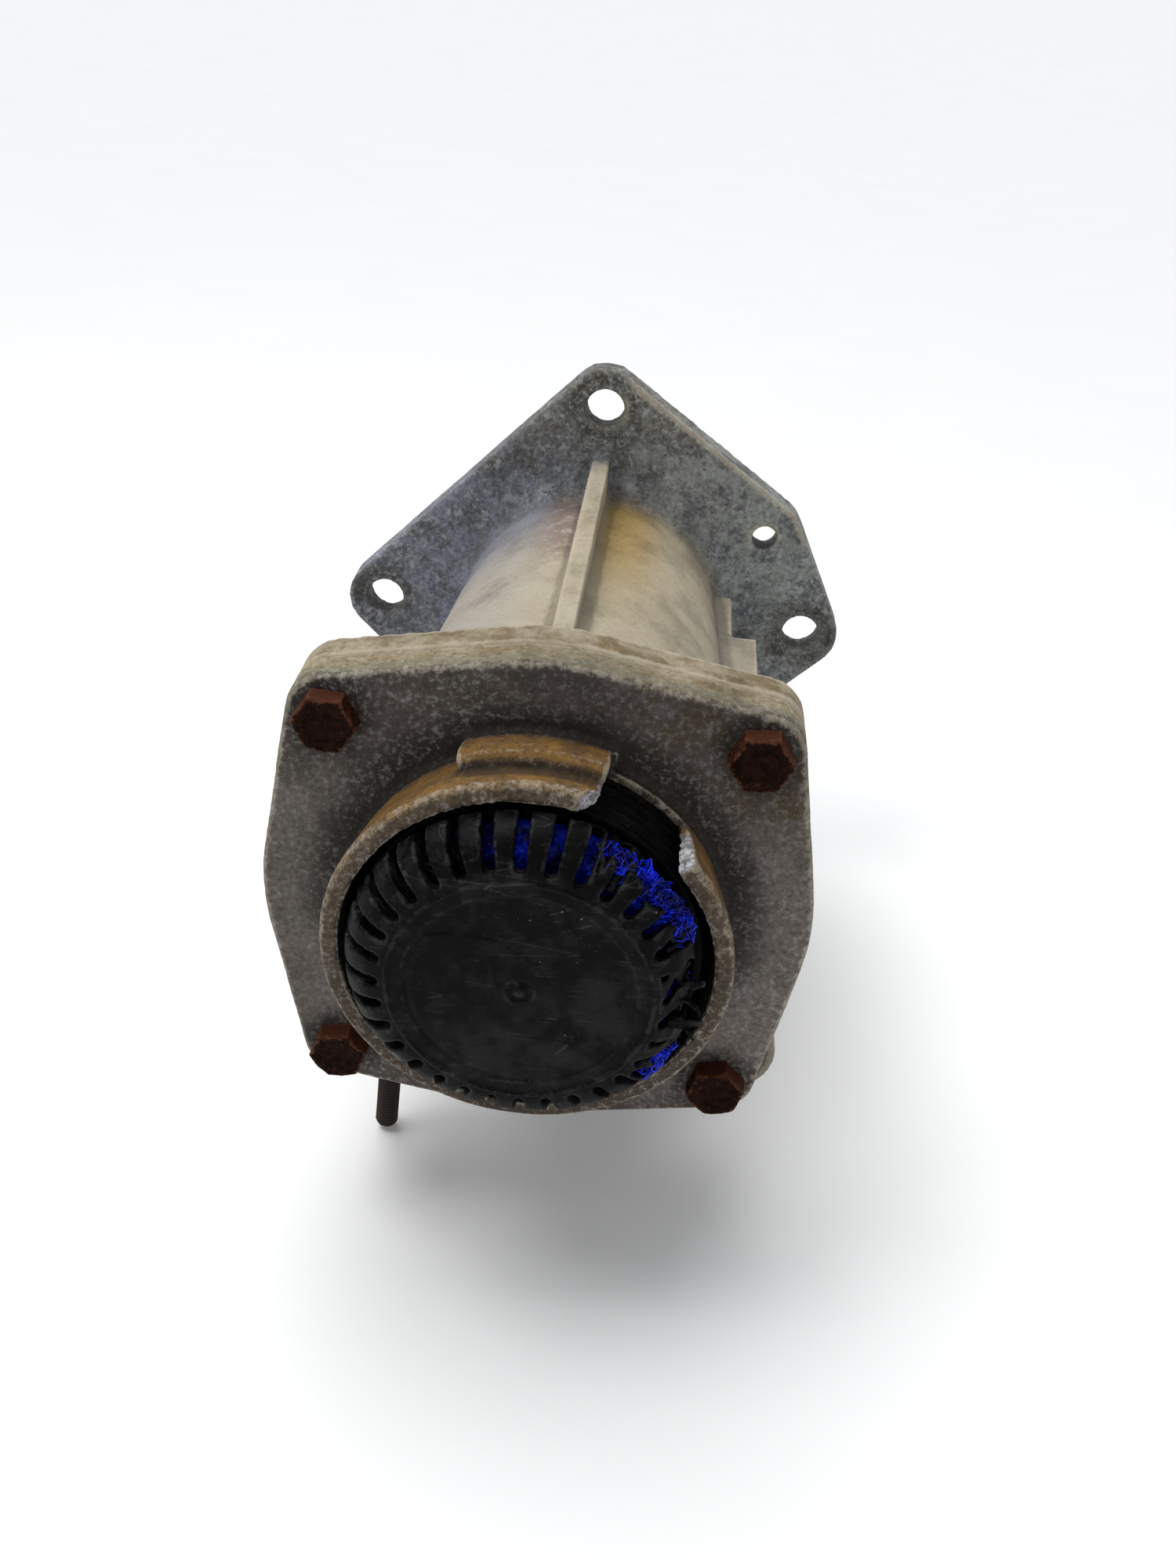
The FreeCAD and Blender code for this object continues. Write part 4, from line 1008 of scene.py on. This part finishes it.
def make_filter():
    """Knitted filter pad: a lumpy core under many small loops of flat yarn."""
    core = copy_of("silencer_mesh", "filter_core", "blue_mesh")
    remesh(core, 0.7 * MM, 1)
    points = points_of(core)
    lumps = noise_at(points, 2.2 * MM, 41) * 0.5 * MM - 0.7 * MM
    move_points(core, points + normals_of(core) * lumps[:, None])
    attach(core, "root")
    draw = random.Random(23)
    parts = []
    for _ in range(1100):
        angle = draw.uniform(0, 360)
        share = draw.random()
        depth = MESH_FACE - (0.3 + 4.5 * max(0, share - 0.2)) * MM
        parts.append(yarn_loop(draw, angle, (23 + 4.2 * share) * MM, depth, draw.uniform(0.6, 1.4) * MM))
    for first, last, count in ((22, 66, 460), (-42, -24, 110)):
        for _ in range(count):
            angle = draw.uniform(first, last)
            share = draw.random()
            radius = (24.6 + 5 * share) * MM
            depth = MESH_FACE + (draw.uniform(-0.6, 1.6) + 1.8 * share - 3 * share * share) * MM
            parts.append(yarn_loop(draw, angle, radius, depth, draw.uniform(0.7, 1.9) * MM))
    piece = new_piece("filter_yarn", *joined(parts), "blue_mesh")
    stand_for(piece, "root", "silencer_mesh")


def yarn_loop(draw, degrees, radius, depth, size):
    """One loose loop of yarn at a place on the pad."""
    centre = Vector(along_radius(radius, math.radians(degrees), depth))
    across = Vector([draw.gauss(0, 1) for _ in range(3)]).normalized()
    over = across.cross(Vector([draw.gauss(0, 1) for _ in range(3)])).normalized()
    phase = draw.uniform(0, math.pi)
    path = []
    for i in range(9):
        turn = 2 * math.pi * i / 9
        wobble = 1 + 0.3 * math.sin(3 * turn + phase)
        path.append(centre + (across * math.cos(turn) + over * math.sin(turn) * 0.6) * size * wobble)
    return tube(path, draw.uniform(0.14, 0.26) * MM, 4, True, 0.35)


# ---------------------------------------------------------------- inside and rear

def make_boot():
    piece = copy_of("plunger_boot", "boot_moulding", "black_rubber")
    remesh(piece, 0.35 * MM, 2)
    mark_edges(piece, 0.3 * MM)
    stand_for(piece, "root", "plunger_boot")
    squash(piece)


def squash(piece):
    """Give a piece its own copy of its mesh; it is not shortened here."""
    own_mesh(piece)


def make_spring(node):
    """Wire coil between the ends of its CAD node."""
    wire, turns, travel = SPRINGS[node]
    low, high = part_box(node)
    start, end = high.y - wire, low.y + wire
    steps = int(turns * 40)
    path = []
    for i in range(steps + 1):
        share = i / steps
        path.append(along_radius(high.x - wire, 2 * math.pi * turns * share, -(start + (end - start) * share)))
    piece = new_piece(f"{node}_wire", *tube(path, wire * 0.96, 12), "spring_steel")
    stand_for(piece, "root", node)
    squash(piece)


def make_rubber_spring():
    piece = copy_of("graduating_spring", "graduating_rubber", "black_rubber")
    remesh(piece, 0.6 * MM, 1)
    stand_for(piece, "reaction_piston", "graduating_spring")
    squash(piece)


def paint_nodes():
    """Give every CAD node that still shows the paint of its material slot."""
    for subpart in frame["record"]["subparts"]:
        node = NODES[subpart["node"]]
        slot = subpart["material_slot"]
        if node.hide_render:
            continue
        node.data.materials.clear()
        node.data.materials.append(PAINTS["cover" if slot == "cast_aluminium" else slot])


# ---------------------------------------------------------------- stage

def area_light(name, place, target, size, power):
    data = bpy.data.lights.new(name, "AREA")
    data.shape = "DISK"
    data.size = size
    data.energy = power
    light = bpy.data.objects.new(name, data)
    bpy.context.scene.collection.objects.link(light)
    light.location = place
    light.rotation_euler = (Vector(target) - Vector(place)).to_track_quat("-Z", "Y").to_euler()


def make_stage():
    scene = bpy.context.scene
    scene.view_settings.view_transform = "Standard"
    world = bpy.data.worlds.new("studio")
    world.use_nodes = True
    world.node_tree.nodes["Background"].inputs["Color"].default_value = (0.95, 0.97, 1.0, 1.0)
    world.node_tree.nodes["Background"].inputs["Strength"].default_value = 0.5
    scene.world = world
    half = 30.0
    level = CAD_BOX[0].z - 1 * MM
    corners = [(-half, -half, level), (half, -half, level), (half, half, level), (-half, half, level)]
    floor = new_piece("floor", corners, [(0, 1, 2, 3)], "floor")
    middle = (CAD_BOX[0] + CAD_BOX[1]) / 2
    sun = bpy.data.lights.new("high_soft", "SUN")
    sun.energy = 1.7
    sun.angle = math.radians(50)
    lamp = bpy.data.objects.new("high_soft", sun)
    bpy.context.scene.collection.objects.link(lamp)
    lamp.rotation_euler = Vector((0.15, -0.35, -1.0)).to_track_quat("-Z", "Y").to_euler()
    area_light("strip", middle + Vector((-0.25, -0.1, 0.5)), middle, 0.25, 1.2)


def make_camera():
    """Camera at the photograph's viewing angle, above and in front of the silencer."""
    data = bpy.data.cameras.new("camera")
    data.sensor_width = 36
    data.lens = 32.4
    data.clip_start = 0.01
    camera = bpy.data.objects.new("camera", data)
    bpy.context.scene.collection.objects.link(camera)
    camera.location = (0.0171, -0.3355, 0.1513)
    camera.rotation_euler = [math.radians(turn) for turn in (58.4, -3.4, 4.7)]
    bpy.context.scene.camera = camera


make_camera()
make_stage()
make_body()
make_cover()
make_bolts()
make_stud()
make_cap()
make_shreds()
make_base()
make_filter()
make_boot()
make_rubber_spring()
for spring in SPRINGS:
    make_spring(spring)
paint_nodes()
